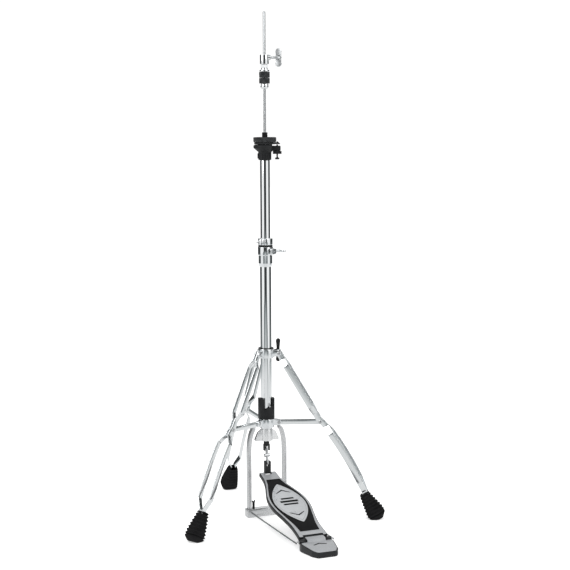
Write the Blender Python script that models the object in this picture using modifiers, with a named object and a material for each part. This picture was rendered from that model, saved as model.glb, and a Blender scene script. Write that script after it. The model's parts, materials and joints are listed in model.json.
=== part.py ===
"""Hi-hat stand: a pedal stand for a pair of cymbals, on three folding double-braced legs.

Metres, +Z up. The shaft stands on the origin. The footboard points to -Y, and the frame posts stand on
+X and -X.
"""

import math

import bmesh
import bpy
from mathutils import Matrix, Vector

MM = 0.001
GAP = 0.3 * MM
WING_BOLT_R = 3.0 * MM
BOLT_BORE_R = WING_BOLT_R + GAP

# Shaft: heights are above the floor, radii from the shaft's axis.
ROD_R = 3.0 * MM
ROD_TOP = 1.145
ROD_JOINT = 0.655
ROD_BOTTOM = 0.1765
UPPER_TUBE_R = 11.1 * MM
LOWER_TUBE_R = 12.7 * MM
TUBE_WALL = 1.2 * MM
UPPER_TUBE_TOP = 0.8165
UPPER_TUBE_BOTTOM = 0.500
LOWER_TUBE_TOP = 0.600
LOWER_TUBE_BOTTOM = 0.2038

COUPLER_HALF = 11 * MM
SLEEVE_BORE_R = LOWER_TUBE_R + GAP

# Directions about the shaft of the pieces that sit to one side, in degrees.
ARM_AZIMUTH = -22.5
CLAMP_AZIMUTH = -67.5
LOCK_AZIMUTH = -132.5
COLLAR_BOLT_AZIMUTH = 30
PIN_AZIMUTH = -84.5

# Clutch and seat.
CLUTCH_LOW = 1.029
CLUTCH_TOP = 1.050
CLUTCH_R = 10.0 * MM
CLUTCH_BOLT_Z = 1.0435
CLUTCH_BOLT_IN = 4.0 * MM
LOCK_NUT_LOW = 1.0210
LOCK_NUT_TOP = 1.0284
CLUTCH_SLEEVE_R = 5.6 * MM
CLUTCH_SLEEVE_LOW = 0.9745
FELT_TOP = 1.0125
FELT_LOW = 0.9860
FELT_R = 12.0 * MM
SEAT_TOP = 0.868
SEAT_R = 26.0 * MM
CUP_LOW = 0.8520
BASE_TOP = 0.8515
BASE_LOW = 0.817
BASE_R = 14.6 * MM
BASE_BORE_R = ROD_R + 0.6 * MM
SPIGOT_LOW = 0.790
FLANGE_R = 25.5 * MM
ARM_Z = 0.8430
TILT_PIVOT_R = 22 * MM
TILT_R = 27.6 * MM
TILT_SCREW_LOW = 0.8183
TILT_NUT_Z = 0.8337
SEAT_BORE_R = 4.4 * MM
GUIDE_RISE = 10.5 * MM

# Clamp between the tubes, and the memory lock above it.
CLAMP_TOP = 0.622
CLAMP_LOW = 0.577
CLAMP_STEP_Z = 0.6045
CLAMP_CONE_Z = 0.585
CLAMP_BOLT_Z = 0.6125
CLAMP_BOLT_R = 22.5 * MM
BUSH_TOP = 0.6256
MEMORY_LOW = 0.6262
MEMORY_TOP = 0.6415
LOCK_SCREW_R = 20.3 * MM

# Legs: each leg turns about a pivot on the sliding collar and is held by a strut from the lower bracket.
LEG_AZIMUTHS = {"right": -30, "back": 90, "left": 210}
COLLAR_LOW = 0.3685
COLLAR_TOP = 0.3914
COLLAR_R = 17.5 * MM
COLLAR_BOLT_Z = 0.3800
COLLAR_BOLT_IN = 13.4 * MM
LEG_PIVOT_R = 30.5 * MM
LEG_PIVOT_Z = 0.3795
LEG_TILT = math.radians(31)
KNEE_DOWN = 182.6 * MM
BRACE_WIDTH = 14 * MM
BRACE_THICK = 2.6 * MM
BRACE_NEAR = 3.2 * MM
BRACE_UPPER_SPREAD = 11.0 * MM
BRACE_LOWER_SPREAD = 16.0 * MM
BRACE_FOOT_SPREAD = 5 * MM
BRACE_END = 398 * MM
FOOT_TOP = 381 * MM
BOW_TOP = 180 * MM
BOW_BOTTOM = 385 * MM
BOW_MARGIN = 0.12
LOWER_BOW = 11 * MM
STRUT_PIVOT_R = 29.5 * MM
STRUT_PIVOT_Z = 0.2195
STRUT_WIDTH = 12.7 * MM
STRUT_THICK = 3.0 * MM
BRACKET_LOW = 0.2070
BRACKET_TOP = 0.2275
BRACKET_R = 17.5 * MM

# Spring tension: a sleeve with two ramps lifts the spring's seat.
SLEEVE_LOW = 0.2282
SLEEVE_TOP = 0.275
SLEEVE_R = 19.0 * MM
RAMP_LOW = 0.2500
RAMP_RISE = 10 * MM
RAMP_TURN = math.radians(84)
PIN_R = 2.0 * MM
SPRING_R = 8.4 * MM
SPRING_WIRE_R = 1.1 * MM
SPRING_TURNS = 7
SPRING_CAP_LOW = 0.3605
SPRING_CAP_TOP = 0.3685
SPRING_SEAT_TOP = RAMP_LOW + RAMP_RISE / 2 + 2 * PIN_R + 7.5 * MM
PIN_Z = RAMP_LOW + RAMP_RISE / 2 + 1.12 * PIN_R + 2 * GAP

# Frame under the shaft.
YOKE_LOW = 0.176
YOKE_TOP = 0.2035
YOKE_R = 13.5 * MM
POST_X = 43.5 * MM
POST_WIDE = 8.0 * MM
POST_DEEP = 12.0 * MM
POST_BEND_Z = 0.150
POST_LOW = 0.0200
PLATE_HIGH = 19.5 * MM
PLATE_DEEP = 20 * MM
PLATE_LONG = 102 * MM
WEB_THICK = 9 * MM
SPUR_X = 33 * MM
SPUR_TIP = 1.2 * MM
SPUR_TOP = 0.0355

# Pedal: the board turns about the heel hinge and pulls the rod through the toe link.
HEEL_Y = -0.276
HEEL_Z = 0.0185
TOE_Y = -0.0045
TOE_PIN_Z = 0.1235
TOE_PIN_UP = 9.5 * MM
BOARD_LENGTH = 285 * MM
BOARD_THICK = 9.0 * MM
BOARD_TOP = 5.2 * MM
PANEL_MIDDLE = 0.508
PANEL_HALF_LONG = 80.5 * MM
PANEL_HALF_WIDE = 35.5 * MM
GRIP_FROM = 0.105
GRIP_TO = 0.875
GRIP_TAPER = 0.2
GRIP_HEEL_INSET = 4.5 * MM
BOARD_SLOPE = math.atan2(0.078, 0.2715)
TOE_SLOT = 274.5 * MM
HEEL_BACK_Y = -0.343
HEEL_TOP = 17.5 * MM
HEEL_SLOPE = math.atan2(6.5 * MM, 66 * MM)
HEEL_EAR_IN = 26 * MM
HINGE_BORE_R = 2.3 * MM
ROD_NUT_LOW = 0.1665
ROD_NUT_TOP = 0.1758
LINK_TOP_Z = 0.1590
LINK_PIN_R = 1.7 * MM
LINK_HOLE_R = 2.1 * MM
LINK_ROLLER_R = 3.8 * MM
FORK_WIDE = 14.6 * MM
TOE_PLAY = 1.2 * MM

# Half the board's width, in millimetres, at shares of the way from the heel hinge to the toe.
BOARD_HALF_WIDTHS = (
    (0.0, 34), (0.10, 32.5), (0.21, 33), (0.33, 38), (0.43, 43.5), (0.525, 45.5),
    (0.62, 42.5), (0.72, 34), (0.80, 26.5), (0.875, 22), (0.93, 20.5), (1.0, 20),
)


def clear_scene():
    for obj in list(bpy.data.objects):
        bpy.data.objects.remove(obj, do_unlink=True)


clear_scene()
parts = bpy.data.collections.new("hi_hat_stand")
cutters = bpy.data.collections.new("cutters")
bpy.context.scene.collection.children.link(parts)
bpy.context.scene.collection.children.link(cutters)
cutters.hide_render = True


# ---------------------------------------------------------------- materials


def material(name, colour, roughness, metallic):
    made = bpy.data.materials.new(name)
    made.use_nodes = True
    shader = made.node_tree.nodes["Principled BSDF"]
    shader.inputs["Base Color"].default_value = (*colour, 1)
    shader.inputs["Roughness"].default_value = roughness
    shader.inputs["Metallic"].default_value = metallic
    made.diffuse_color = (*colour, 1)
    return made


CHROME = material("chrome", (0.80, 0.82, 0.84), 0.08, 1.0)
STEEL = material("steel", (0.55, 0.56, 0.57), 0.30, 1.0)
CAST = material("silver_cast", (0.62, 0.63, 0.65), 0.40, 0.7)
BLACK = material("black_plastic", (0.025, 0.026, 0.028), 0.45, 0.0)
BLACK_METAL = material("black_metal", (0.030, 0.031, 0.034), 0.35, 0.3)
RUBBER = material("rubber", (0.018, 0.018, 0.020), 0.75, 0.0)
FELT = material("felt", (0.045, 0.045, 0.048), 0.95, 0.0)
SILVER = material("silver_paint", (0.56, 0.57, 0.58), 0.38, 0.5)


# ------------------------------------------------------------- small tools


def linked(name, data, mat=None, group=parts):
    obj = bpy.data.objects.new(name, data)
    group.objects.link(obj)
    if mat:
        data.materials.append(mat)
    return obj


def empty(name, at, azimuth=0.0, tilt=0.0, parent=None):
    """An axis that pieces hang from: turned about Z by azimuth, then leaned outwards by tilt."""
    made = bpy.data.objects.new(name, None)
    parts.objects.link(made)
    made.empty_display_size = 0.02
    made.parent = parent
    made.location = at
    made.rotation_euler = (0, -tilt, azimuth)
    return made


def smooth(obj, angle=35):
    mesh = obj.data
    mesh.shade_smooth()
    mesh.set_sharp_from_angle(angle=math.radians(angle))
    return obj


def facing_out(obj):
    form = bmesh.new()
    form.from_mesh(obj.data)
    bmesh.ops.remove_doubles(form, verts=form.verts, dist=1e-6)
    bmesh.ops.recalc_face_normals(form, faces=form.faces)
    form.to_mesh(obj.data)
    form.free()
    return obj


def bevel(obj, width, segments=1, angle=40):
    made = obj.modifiers.new("rounded_edges", "BEVEL")
    made.width = width
    made.segments = segments
    made.limit_method = "ANGLE"
    made.angle_limit = math.radians(angle)
    return obj


def baked(obj):
    """The object's modifiers applied, as a plain mesh."""
    graph = bpy.context.evaluated_depsgraph_get()
    bpy.context.view_layer.update()
    mesh = bpy.data.meshes.new_from_object(obj.evaluated_get(graph))
    old = obj.data
    mesh.name = obj.name
    if obj.type == "CURVE":
        replacement = bpy.data.objects.new(obj.name + "_mesh", mesh)
        for group in obj.users_collection:
            group.objects.link(replacement)
        replacement.matrix_basis = obj.matrix_basis.copy()
        replacement.parent = obj.parent
        name = obj.name
        bpy.data.objects.remove(obj, do_unlink=True)
        replacement.name = name
        return facing_out(replacement)
    obj.modifiers.clear()
    obj.data = mesh
    bpy.data.meshes.remove(old)
    return obj


def combined(obj, other, operation):
    """Boolean of obj with other, applied; other is a helper and goes."""
    if other.type == "CURVE":
        other = baked(other)
    if obj.type == "CURVE":
        obj = baked(obj)
    bpy.context.view_layer.update()
    made = obj.modifiers.new(operation.lower(), "BOOLEAN")
    made.operation = operation
    made.solver = "EXACT"
    made.object = other
    obj = baked(obj)
    bpy.data.objects.remove(other, do_unlink=True)
    return obj


def cut(obj, other):
    return combined(obj, other, "DIFFERENCE")


def join(obj, other):
    return combined(obj, other, "UNION")


def turned(name, profile, mat=None, steps=32, group=parts):
    """A solid turned about Z from (radius, height) points, from its top down the outside.

    A profile that starts off the axis is a ring, and its last point joins its first.
    """
    mesh = bpy.data.meshes.new(name)
    ring = profile[0][0] > 0
    edges = [(i, i + 1) for i in range(len(profile) - 1)]
    if ring:
        edges.append((len(profile) - 1, 0))
    mesh.from_pydata([(r, 0, z) for r, z in profile], edges, [])
    obj = linked(name, mesh, mat, group)
    screw = obj.modifiers.new("turn", "SCREW")
    screw.steps = steps
    screw.render_steps = steps
    screw.use_merge_vertices = True
    screw.merge_threshold = 1e-5
    return smooth(facing_out(baked(obj)))


def rod(name, radius, low, high, mat=None, chamfer=0.0, steps=24, group=parts):
    profile = [(0, high), (radius - chamfer, high), (radius, high - chamfer), (radius, low + chamfer)]
    profile += [(radius - chamfer, low), (0, low)]
    if not chamfer:
        profile = [(0, high), (radius, high), (radius, low), (0, low)]
    return turned(name, profile, mat, steps, group)


def ring(name, outer, inner, low, high, mat=None, chamfer=0.0, steps=32, group=parts):
    profile = [(inner, high), (outer - chamfer, high), (outer, high - chamfer)]
    profile += [(outer, low + chamfer), (outer - chamfer, low), (inner, low)]
    if not chamfer:
        profile = [(inner, high), (outer, high), (outer, low), (inner, low)]
    return turned(name, profile, mat, steps, group)


def block(name, size, at, mat=None, rounding=0.0, segments=1, group=parts):
    """A box of this size with its centre here, kept in the mesh so that the object's origin stays put."""
    mesh = bpy.data.meshes.new(name)
    form = bmesh.new()
    bmesh.ops.create_cube(form, size=1.0)
    bmesh.ops.scale(form, vec=Vector(size), verts=form.verts)
    bmesh.ops.translate(form, vec=Vector(at), verts=form.verts)
    form.to_mesh(mesh)
    form.free()
    obj = linked(name, mesh, mat, group)
    if rounding:
        bevel(obj, rounding, segments)
        obj = baked(obj)
    return obj


def prism(name, radius, sides, low, high, mat=None, group=parts):
    """A bar with flat sides along Z, such as a nut."""
    mesh = bpy.data.meshes.new(name)
    form = bmesh.new()
    bmesh.ops.create_cone(
        form, cap_ends=True, segments=sides, radius1=radius, radius2=radius, depth=high - low
    )
    bmesh.ops.translate(form, vec=Vector((0, 0, (high + low) / 2)), verts=form.verts)
    form.to_mesh(mesh)
    form.free()
    return linked(name, mesh, mat, group)


def outline(name, points, thickness, mat=None, holes=(), group=parts):
    """A flat plate: the outline in local X and Y, half its thickness to each side of Z = 0."""
    curve = bpy.data.curves.new(name, "CURVE")
    curve.dimensions = "2D"
    curve.fill_mode = "BOTH"
    curve.extrude = thickness / 2
    for loop in (points, *holes):
        spline = curve.splines.new("POLY")
        spline.points.add(len(loop) - 1)
        for point, (x, y) in zip(spline.points, loop):
            point.co = (x, y, 0, 1)
        spline.use_cyclic_u = True
    return baked(linked(name, curve, mat, group))


def wire(name, points, radius, mat=None, resolution=2, group=parts):
    curve = bpy.data.curves.new(name, "CURVE")
    curve.dimensions = "3D"
    curve.bevel_depth = radius
    curve.bevel_resolution = resolution
    curve.use_fill_caps = True
    spline = curve.splines.new("POLY")
    spline.points.add(len(points) - 1)
    for point, at in zip(spline.points, points):
        point.co = (*at, 1)
    return smooth(baked(linked(name, curve, mat, group)), 50)


def circle(radius, sides, centre=(0, 0), start=0.0):
    turns = [start + 2 * math.pi * i / sides for i in range(sides)]
    return [(centre[0] + radius * math.cos(a), centre[1] + radius * math.sin(a)) for a in turns]


def arc(centre, radius, first, last, steps):
    """Points along an arc, angles in degrees."""
    turns = [math.radians(first + (last - first) * i / steps) for i in range(steps + 1)]
    return [(centre[0] + radius * math.cos(a), centre[1] + radius * math.sin(a)) for a in turns]


def moved(obj, matrix):
    """The piece's mesh carried by a matrix; its origin stays."""
    obj.data.transform(matrix)
    return obj


def turn_z(degrees):
    return Matrix.Rotation(math.radians(degrees), 4, "Z")


def turned_about(reach, azimuth, height, across=0.0):
    """The point this far out from the shaft in this direction, in degrees, and this far across it."""
    return turn_z(azimuth) @ Vector((reach, across, height))


# Takes a plate drawn flat, or a bar along Z, to another plane of its parent.
STAND_UP = Matrix.Rotation(math.pi / 2, 4, "X")
ALONG_X = Matrix.Rotation(math.pi / 2, 4, "Y")
ACROSS = Matrix.Rotation(math.pi / 2, 4, "Z") @ Matrix.Rotation(math.pi / 2, 4, "X")


def hung(obj, parent, location=(0, 0, 0), rotation=(0, 0, 0)):
    obj.parent = parent
    obj.location = location
    obj.rotation_euler = rotation
    return obj


def wing_bolt(name, mat, shaft, wings_size, upright, parent, slim=0.5):
    """A bolt along local +X from the parent's origin, with two rounded wings at its outer end.

    wings_size is the wings' span, width and thickness; slim is the waist's share of their width.
    """
    span, wide, thick = wings_size
    lobe = wide / 2
    reach = span / 2 - lobe
    hub_r = lobe * 0.558
    waist = lobe * slim
    points = arc((0, reach), lobe, -35, 215, 8) + [(-waist, 0)]
    points += arc((0, -reach), lobe, 145, 395, 8) + [(waist, 0)]
    wings = outline(name, points, thick, mat)
    if upright:
        moved(wings, STAND_UP)
    moved(wings, Matrix.Translation((shaft + lobe * 0.7, 0, 0)))
    hub = rod(name + "_hub", hub_r, shaft - 2 * MM, shaft + lobe * 0.9, steps=16, group=cutters)
    stem = rod(name + "_stem", WING_BOLT_R, 0, shaft, steps=16, group=cutters)
    made = join(join(wings, moved(hub, ALONG_X)), moved(stem, ALONG_X))
    return hung(smooth(made), parent)


# --------------------------------------------------------- rods and spring


def rods():
    pull = empty("pull_rod_axis", (0, 0, 0))
    dome = arc((0, ROD_TOP - ROD_R), ROD_R, 90, 0, 4)
    upper = [(0, dome[0][1])] + dome[1:] + [(ROD_R, ROD_JOINT + GAP), (0, ROD_JOINT + GAP)]
    hung(turned("upper_rod", upper, CHROME, 20), pull)
    hung(rod("lower_rod", ROD_R, ROD_BOTTOM, ROD_JOINT - GAP, STEEL, 0.4 * MM, 20), pull)
    coupler = prism("rod_coupler", 6.5 * MM, 6, ROD_JOINT - COUPLER_HALF, ROD_JOINT + COUPLER_HALF, STEEL)
    past = 2 * COUPLER_HALF
    bore = rod("coupler_bore", ROD_R + GAP, ROD_JOINT - past, ROD_JOINT + past, group=cutters)
    hung(cut(coupler, bore), pull)
    neck_top = SPRING_CAP_TOP + 6 * MM
    cap = [(ROD_R + GAP, neck_top), (5.5 * MM, neck_top), (5.5 * MM, SPRING_CAP_TOP)]
    cap += [(10.6 * MM, SPRING_CAP_TOP)]
    cap += [(10.6 * MM, SPRING_CAP_LOW), (ROD_R + GAP, SPRING_CAP_LOW)]
    hung(turned("spring_cap", cap, STEEL, 28), pull)
    low = SPRING_SEAT_TOP + SPRING_WIRE_R + GAP
    high = SPRING_CAP_LOW - SPRING_WIRE_R - GAP
    steps = SPRING_TURNS * 10
    coil = []
    for i in range(steps + 1):
        turn = 2 * math.pi * SPRING_TURNS * i / steps
        z = low + (high - low) * i / steps
        coil.append((SPRING_R * math.cos(turn), SPRING_R * math.sin(turn), z))
    hung(wire("spring", coil, SPRING_WIRE_R, STEEL), pull)
    return pull


def ramp_window():
    """The room above one ramp: an upright rectangle swept round the shaft while it climbs."""
    steps = 12
    far = 30 * MM
    near = 10 * MM
    tall = 40 * MM
    form = bmesh.new()
    corners = [form.verts.new(at) for at in ((near, 0, 0), (far, 0, 0), (far, 0, tall), (near, 0, tall))]
    face = form.faces.new(corners)
    bmesh.ops.spin(
        form,
        geom=form.verts[:] + form.edges[:] + [face],
        cent=(0, 0, 0),
        axis=(0, 0, 1),
        dvec=(0, 0, RAMP_RISE / steps),
        angle=RAMP_TURN,
        steps=steps,
        use_duplicate=False,
    )
    bmesh.ops.recalc_face_normals(form, faces=form.faces)
    mesh = bpy.data.meshes.new("ramp_window")
    form.to_mesh(mesh)
    form.free()
    return linked("ramp_window", mesh, group=cutters)


def tension():
    """The sleeve turns on the lower tube, and its ramps lift the cross pin under the spring."""
    seat = ring("spring_seat", 11.2 * MM, ROD_R + GAP, PIN_Z - PIN_R, SPRING_SEAT_TOP, STEEL, steps=28)
    pin = rod("cross_pin", PIN_R, -18.2 * MM, 18.2 * MM, steps=12, group=cutters)
    pin = moved(pin, Matrix.Translation((0, 0, PIN_Z)) @ turn_z(PIN_AZIMUTH) @ ALONG_X)
    seat = join(seat, pin)
    bore = rod("seat_bore", ROD_R + GAP, SLEEVE_LOW - 10 * MM, SLEEVE_TOP + 10 * MM, group=cutters)
    hung(smooth(cut(seat, bore)), empty("tension_pin_axis", (0, 0, 0)))

    sleeve = ring("tension_sleeve", SLEEVE_R, SLEEVE_BORE_R, SLEEVE_LOW, SLEEVE_TOP, BLACK, steps=48)
    for side in (0, 180):
        window = ramp_window()
        start = PIN_AZIMUTH + side - math.degrees(RAMP_TURN) / 2
        moved(window, Matrix.Translation((0, 0, RAMP_LOW)) @ turn_z(start))
        sleeve = cut(sleeve, window)
    hung(smooth(sleeve), empty("tension_sleeve_axis", (0, 0, 0)))


# ------------------------------------------------------------------- tubes


def tubes():
    tube_axis = empty("upper_tube_axis", (0, 0, 0))
    inner = UPPER_TUBE_R - TUBE_WALL
    upper = ring("upper_tube", UPPER_TUBE_R, inner, UPPER_TUBE_BOTTOM, UPPER_TUBE_TOP, CHROME, 0.3 * MM, 36)
    hung(upper, tube_axis)
    inner = LOWER_TUBE_R - TUBE_WALL
    lower = ring("lower_tube", LOWER_TUBE_R, inner, LOWER_TUBE_BOTTOM, LOWER_TUBE_TOP, CHROME, 0.3 * MM, 36)
    high = RAMP_RISE + 2 * PIN_R + 2 * MM
    slot = block("pin_slot", (60 * MM, 5.2 * MM, high), (0, 0, PIN_Z), rounding=2.5 * MM, group=cutters)
    lower = cut(lower, moved(slot, turn_z(PIN_AZIMUTH)))
    smooth(lower)

    bush = [(UPPER_TUBE_R + GAP, BUSH_TOP), (16.4 * MM, BUSH_TOP), (16.4 * MM, CLAMP_TOP + GAP)]
    bush += [(14.4 * MM, CLAMP_TOP + GAP), (14.4 * MM, LOWER_TUBE_TOP + GAP)]
    bush += [(UPPER_TUBE_R + GAP, LOWER_TUBE_TOP + GAP)]
    bush = turned("clamp_bushing", bush, BLACK)
    turn = turn_z(CLAMP_AZIMUTH)
    slit = block("bush_slit", (10 * MM, 2 * MM, 60 * MM), (15 * MM, 0, CLAMP_BOLT_Z), group=cutters)
    cut(bush, moved(slit, turn))

    body = [(14.7 * MM, CLAMP_TOP), (16.6 * MM, CLAMP_TOP), (17.2 * MM, CLAMP_TOP - 0.8 * MM)]
    body += [(17.2 * MM, CLAMP_STEP_Z), (15.8 * MM, CLAMP_STEP_Z - 1.5 * MM), (15.8 * MM, CLAMP_CONE_Z)]
    body += [(13.8 * MM, CLAMP_LOW), (SLEEVE_BORE_R, CLAMP_LOW), (SLEEVE_BORE_R, LOWER_TUBE_TOP + GAP)]
    body += [(14.7 * MM, LOWER_TUBE_TOP + GAP)]
    clamp = turned("tube_clamp", body, CHROME, 36)
    ears_at = (CLAMP_BOLT_R - 1.1 * MM, 0, CLAMP_BOLT_Z)
    ears = block("clamp_ears", (12 * MM, 17 * MM, 14 * MM), ears_at, rounding=2 * MM, group=cutters)
    slit_at = (CLAMP_BOLT_R + 1 * MM, 0, CLAMP_BOLT_Z)
    slit = block("clamp_slit", (20 * MM, 2.4 * MM, 60 * MM), slit_at, group=cutters)
    hole = rod("bolt_hole", 3.3 * MM, -20 * MM, 20 * MM, steps=16, group=cutters)
    moved(hole, Matrix.Translation((CLAMP_BOLT_R, 0, CLAMP_BOLT_Z)) @ STAND_UP)
    clamp = join(clamp, moved(ears, turn))
    clamp = cut(clamp, moved(slit, turn))
    smooth(cut(clamp, moved(hole, turn)))

    start = turned_about(CLAMP_BOLT_R, CLAMP_AZIMUTH, CLAMP_BOLT_Z, -8 * MM)
    axis = empty("clamp_bolt_axis", start, math.radians(CLAMP_AZIMUTH + 90))
    wing_bolt("clamp_wing_bolt", CHROME, 28 * MM, (33 * MM, 11 * MM, 4.5 * MM), False, axis)
    return tube_axis


def memory_lock(tube_axis):
    lock_axis = empty("memory_lock_axis", (0, 0, 0), parent=tube_axis)
    middle = (MEMORY_LOW + MEMORY_TOP) / 2
    lock = ring("memory_lock", 16.6 * MM, UPPER_TUBE_R + GAP, MEMORY_LOW, MEMORY_TOP, CHROME, 1 * MM, 36)
    ears_at = (LOCK_SCREW_R - 1.8 * MM, 0, middle)
    ears = block("lock_ears", (11 * MM, 13 * MM, 13 * MM), ears_at, rounding=1.5 * MM, group=cutters)
    slit = block("lock_slit", (16 * MM, 2 * MM, 40 * MM), (19 * MM, 0, middle), group=cutters)
    hole = rod("lock_hole", 2.8 * MM, -20 * MM, 20 * MM, steps=16, group=cutters)
    moved(hole, Matrix.Translation((LOCK_SCREW_R, 0, middle)) @ STAND_UP)
    turn = turn_z(LOCK_AZIMUTH)
    lock = join(lock, moved(ears, turn))
    lock = cut(lock, moved(slit, turn))
    hung(smooth(cut(lock, moved(hole, turn))), lock_axis)

    start = turned_about(LOCK_SCREW_R, LOCK_AZIMUTH, middle)
    screw_axis = empty("memory_screw_axis", start, math.radians(LOCK_AZIMUTH - 90), parent=lock_axis)
    shank = rod("memory_lock_screw", 2.5 * MM, -9 * MM, 7.2 * MM, STEEL, steps=16)
    shank = join(shank, prism("flange", 4.6 * MM, 16, 6.8 * MM, 8.6 * MM, group=cutters))
    shank = join(shank, prism("square", 3.4 * MM, 4, 8 * MM, 13 * MM, group=cutters))
    hung(moved(smooth(shank), ALONG_X), screw_axis)


# ----------------------------------------------------------- seat and clutch


def seat(tube_axis):
    turn = turn_z(ARM_AZIMUTH)
    spigot = UPPER_TUBE_R - TUBE_WALL - GAP
    body = [(BASE_BORE_R, BASE_TOP - GAP), (FLANGE_R - 2.5 * MM, BASE_TOP - GAP)]
    body += [(FLANGE_R, ARM_Z + 6 * MM), (FLANGE_R, ARM_Z + 1 * MM), (BASE_R, ARM_Z - 8 * MM)]
    body += [(BASE_R, BASE_LOW + 1 * MM), (BASE_R - 1 * MM, BASE_LOW), (spigot, BASE_LOW)]
    body += [(spigot, SPIGOT_LOW), (BASE_BORE_R, SPIGOT_LOW)]
    base = turned("seat_base", body, BLACK, 36)
    trim = block("flange_trim", (40 * MM, 80 * MM, 40 * MM), (36.5 * MM, 0, 0.8600), group=cutters)
    arm_at = (23.3 * MM, 0, ARM_Z)
    arm = block("tilt_arm", (24 * MM, 14 * MM, 11.6 * MM), arm_at, rounding=2 * MM, group=cutters)
    hole = rod("tilt_hole", 2.2 * MM, ARM_Z - 40 * MM, ARM_Z + 60 * MM, steps=14, group=cutters)
    base = cut(base, moved(trim, turn))
    base = join(base, moved(arm, turn))
    base = cut(base, moved(moved(hole, Matrix.Translation((TILT_R, 0, 0))), turn))
    hung(smooth(base), tube_axis)

    tilt_at = turned_about(-TILT_PIVOT_R, ARM_AZIMUTH, CUP_LOW)
    tilt = empty("seat_tilt_axis", tilt_at, math.radians(ARM_AZIMUTH), parent=tube_axis)
    back = Matrix.Translation((TILT_PIVOT_R, 0, 0))
    cup_bore_r = SEAT_BORE_R + 1.4 * MM
    cup = [(cup_bore_r, 4.6 * MM), (SEAT_R - 1.5 * MM, 4.6 * MM), (SEAT_R - 1 * MM, 4 * MM)]
    cup += [(SEAT_R - 3 * MM, 0), (cup_bore_r, 0)]
    cup = turned("seat_cup", cup, BLACK, 40)
    wedge = [(10 * MM, GAP), (34.5 * MM, GAP), (34.3 * MM, 1.3 * MM), (28.3 * MM, 6.5 * MM)]
    wedge += [(26.4 * MM, 6.5 * MM), (26.4 * MM, 4.4 * MM), (10 * MM, 4.4 * MM)]
    wedge = moved(outline("cup_arm", wedge, 12 * MM, group=cutters), STAND_UP)
    hung(moved(smooth(join(cup, wedge)), back), tilt)
    low = 5.0 * MM
    high = SEAT_TOP - CUP_LOW
    pad = [(6.8 * MM, high), (SEAT_R - 1.5 * MM, high), (SEAT_R, high - 1.5 * MM)]
    pad += [(SEAT_R - 0.8 * MM, low + 1 * MM), (SEAT_R - 1.8 * MM, low), (6.8 * MM, low)]
    hung(moved(turned("seat_felt", pad, FELT, 40), back), tilt)
    top = high + GUIDE_RISE
    guide = [(SEAT_BORE_R, top), (5.8 * MM, top), (6.2 * MM, top - 0.6 * MM)]
    guide += [(6.2 * MM, low), (SEAT_BORE_R, low)]
    hung(moved(turned("seat_guide", guide, RUBBER, 24), back), tilt)

    screw_axis = empty("tilt_screw_axis", turned_about(TILT_R, ARM_AZIMUTH, 0), parent=tube_axis)
    shank = 1.9 * MM
    head_r = 4.7 * MM
    head_top = TILT_SCREW_LOW + 4.7 * MM
    head = [(0, BASE_TOP), (shank, BASE_TOP), (shank, head_top), (head_r, head_top - 0.8 * MM)]
    head += [(head_r, TILT_SCREW_LOW + 0.7 * MM), (head_r - 0.7 * MM, TILT_SCREW_LOW), (0, TILT_SCREW_LOW)]
    hung(turned("tilt_screw", head, BLACK_METAL, 20), screw_axis)
    knurl = []
    ridges = 18
    for i in range(2 * ridges):
        angle = math.pi * i / ridges
        reach = (9.8 if i % 2 else 9.1) * MM
        knurl.append((reach * math.cos(angle), reach * math.sin(angle)))
    wheel = outline("tilt_lock_nut", knurl, 6.4 * MM, BLACK, holes=[circle(2.2 * MM, 16)])
    hung(moved(wheel, Matrix.Translation((0, 0, TILT_NUT_Z))), screw_axis)


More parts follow.
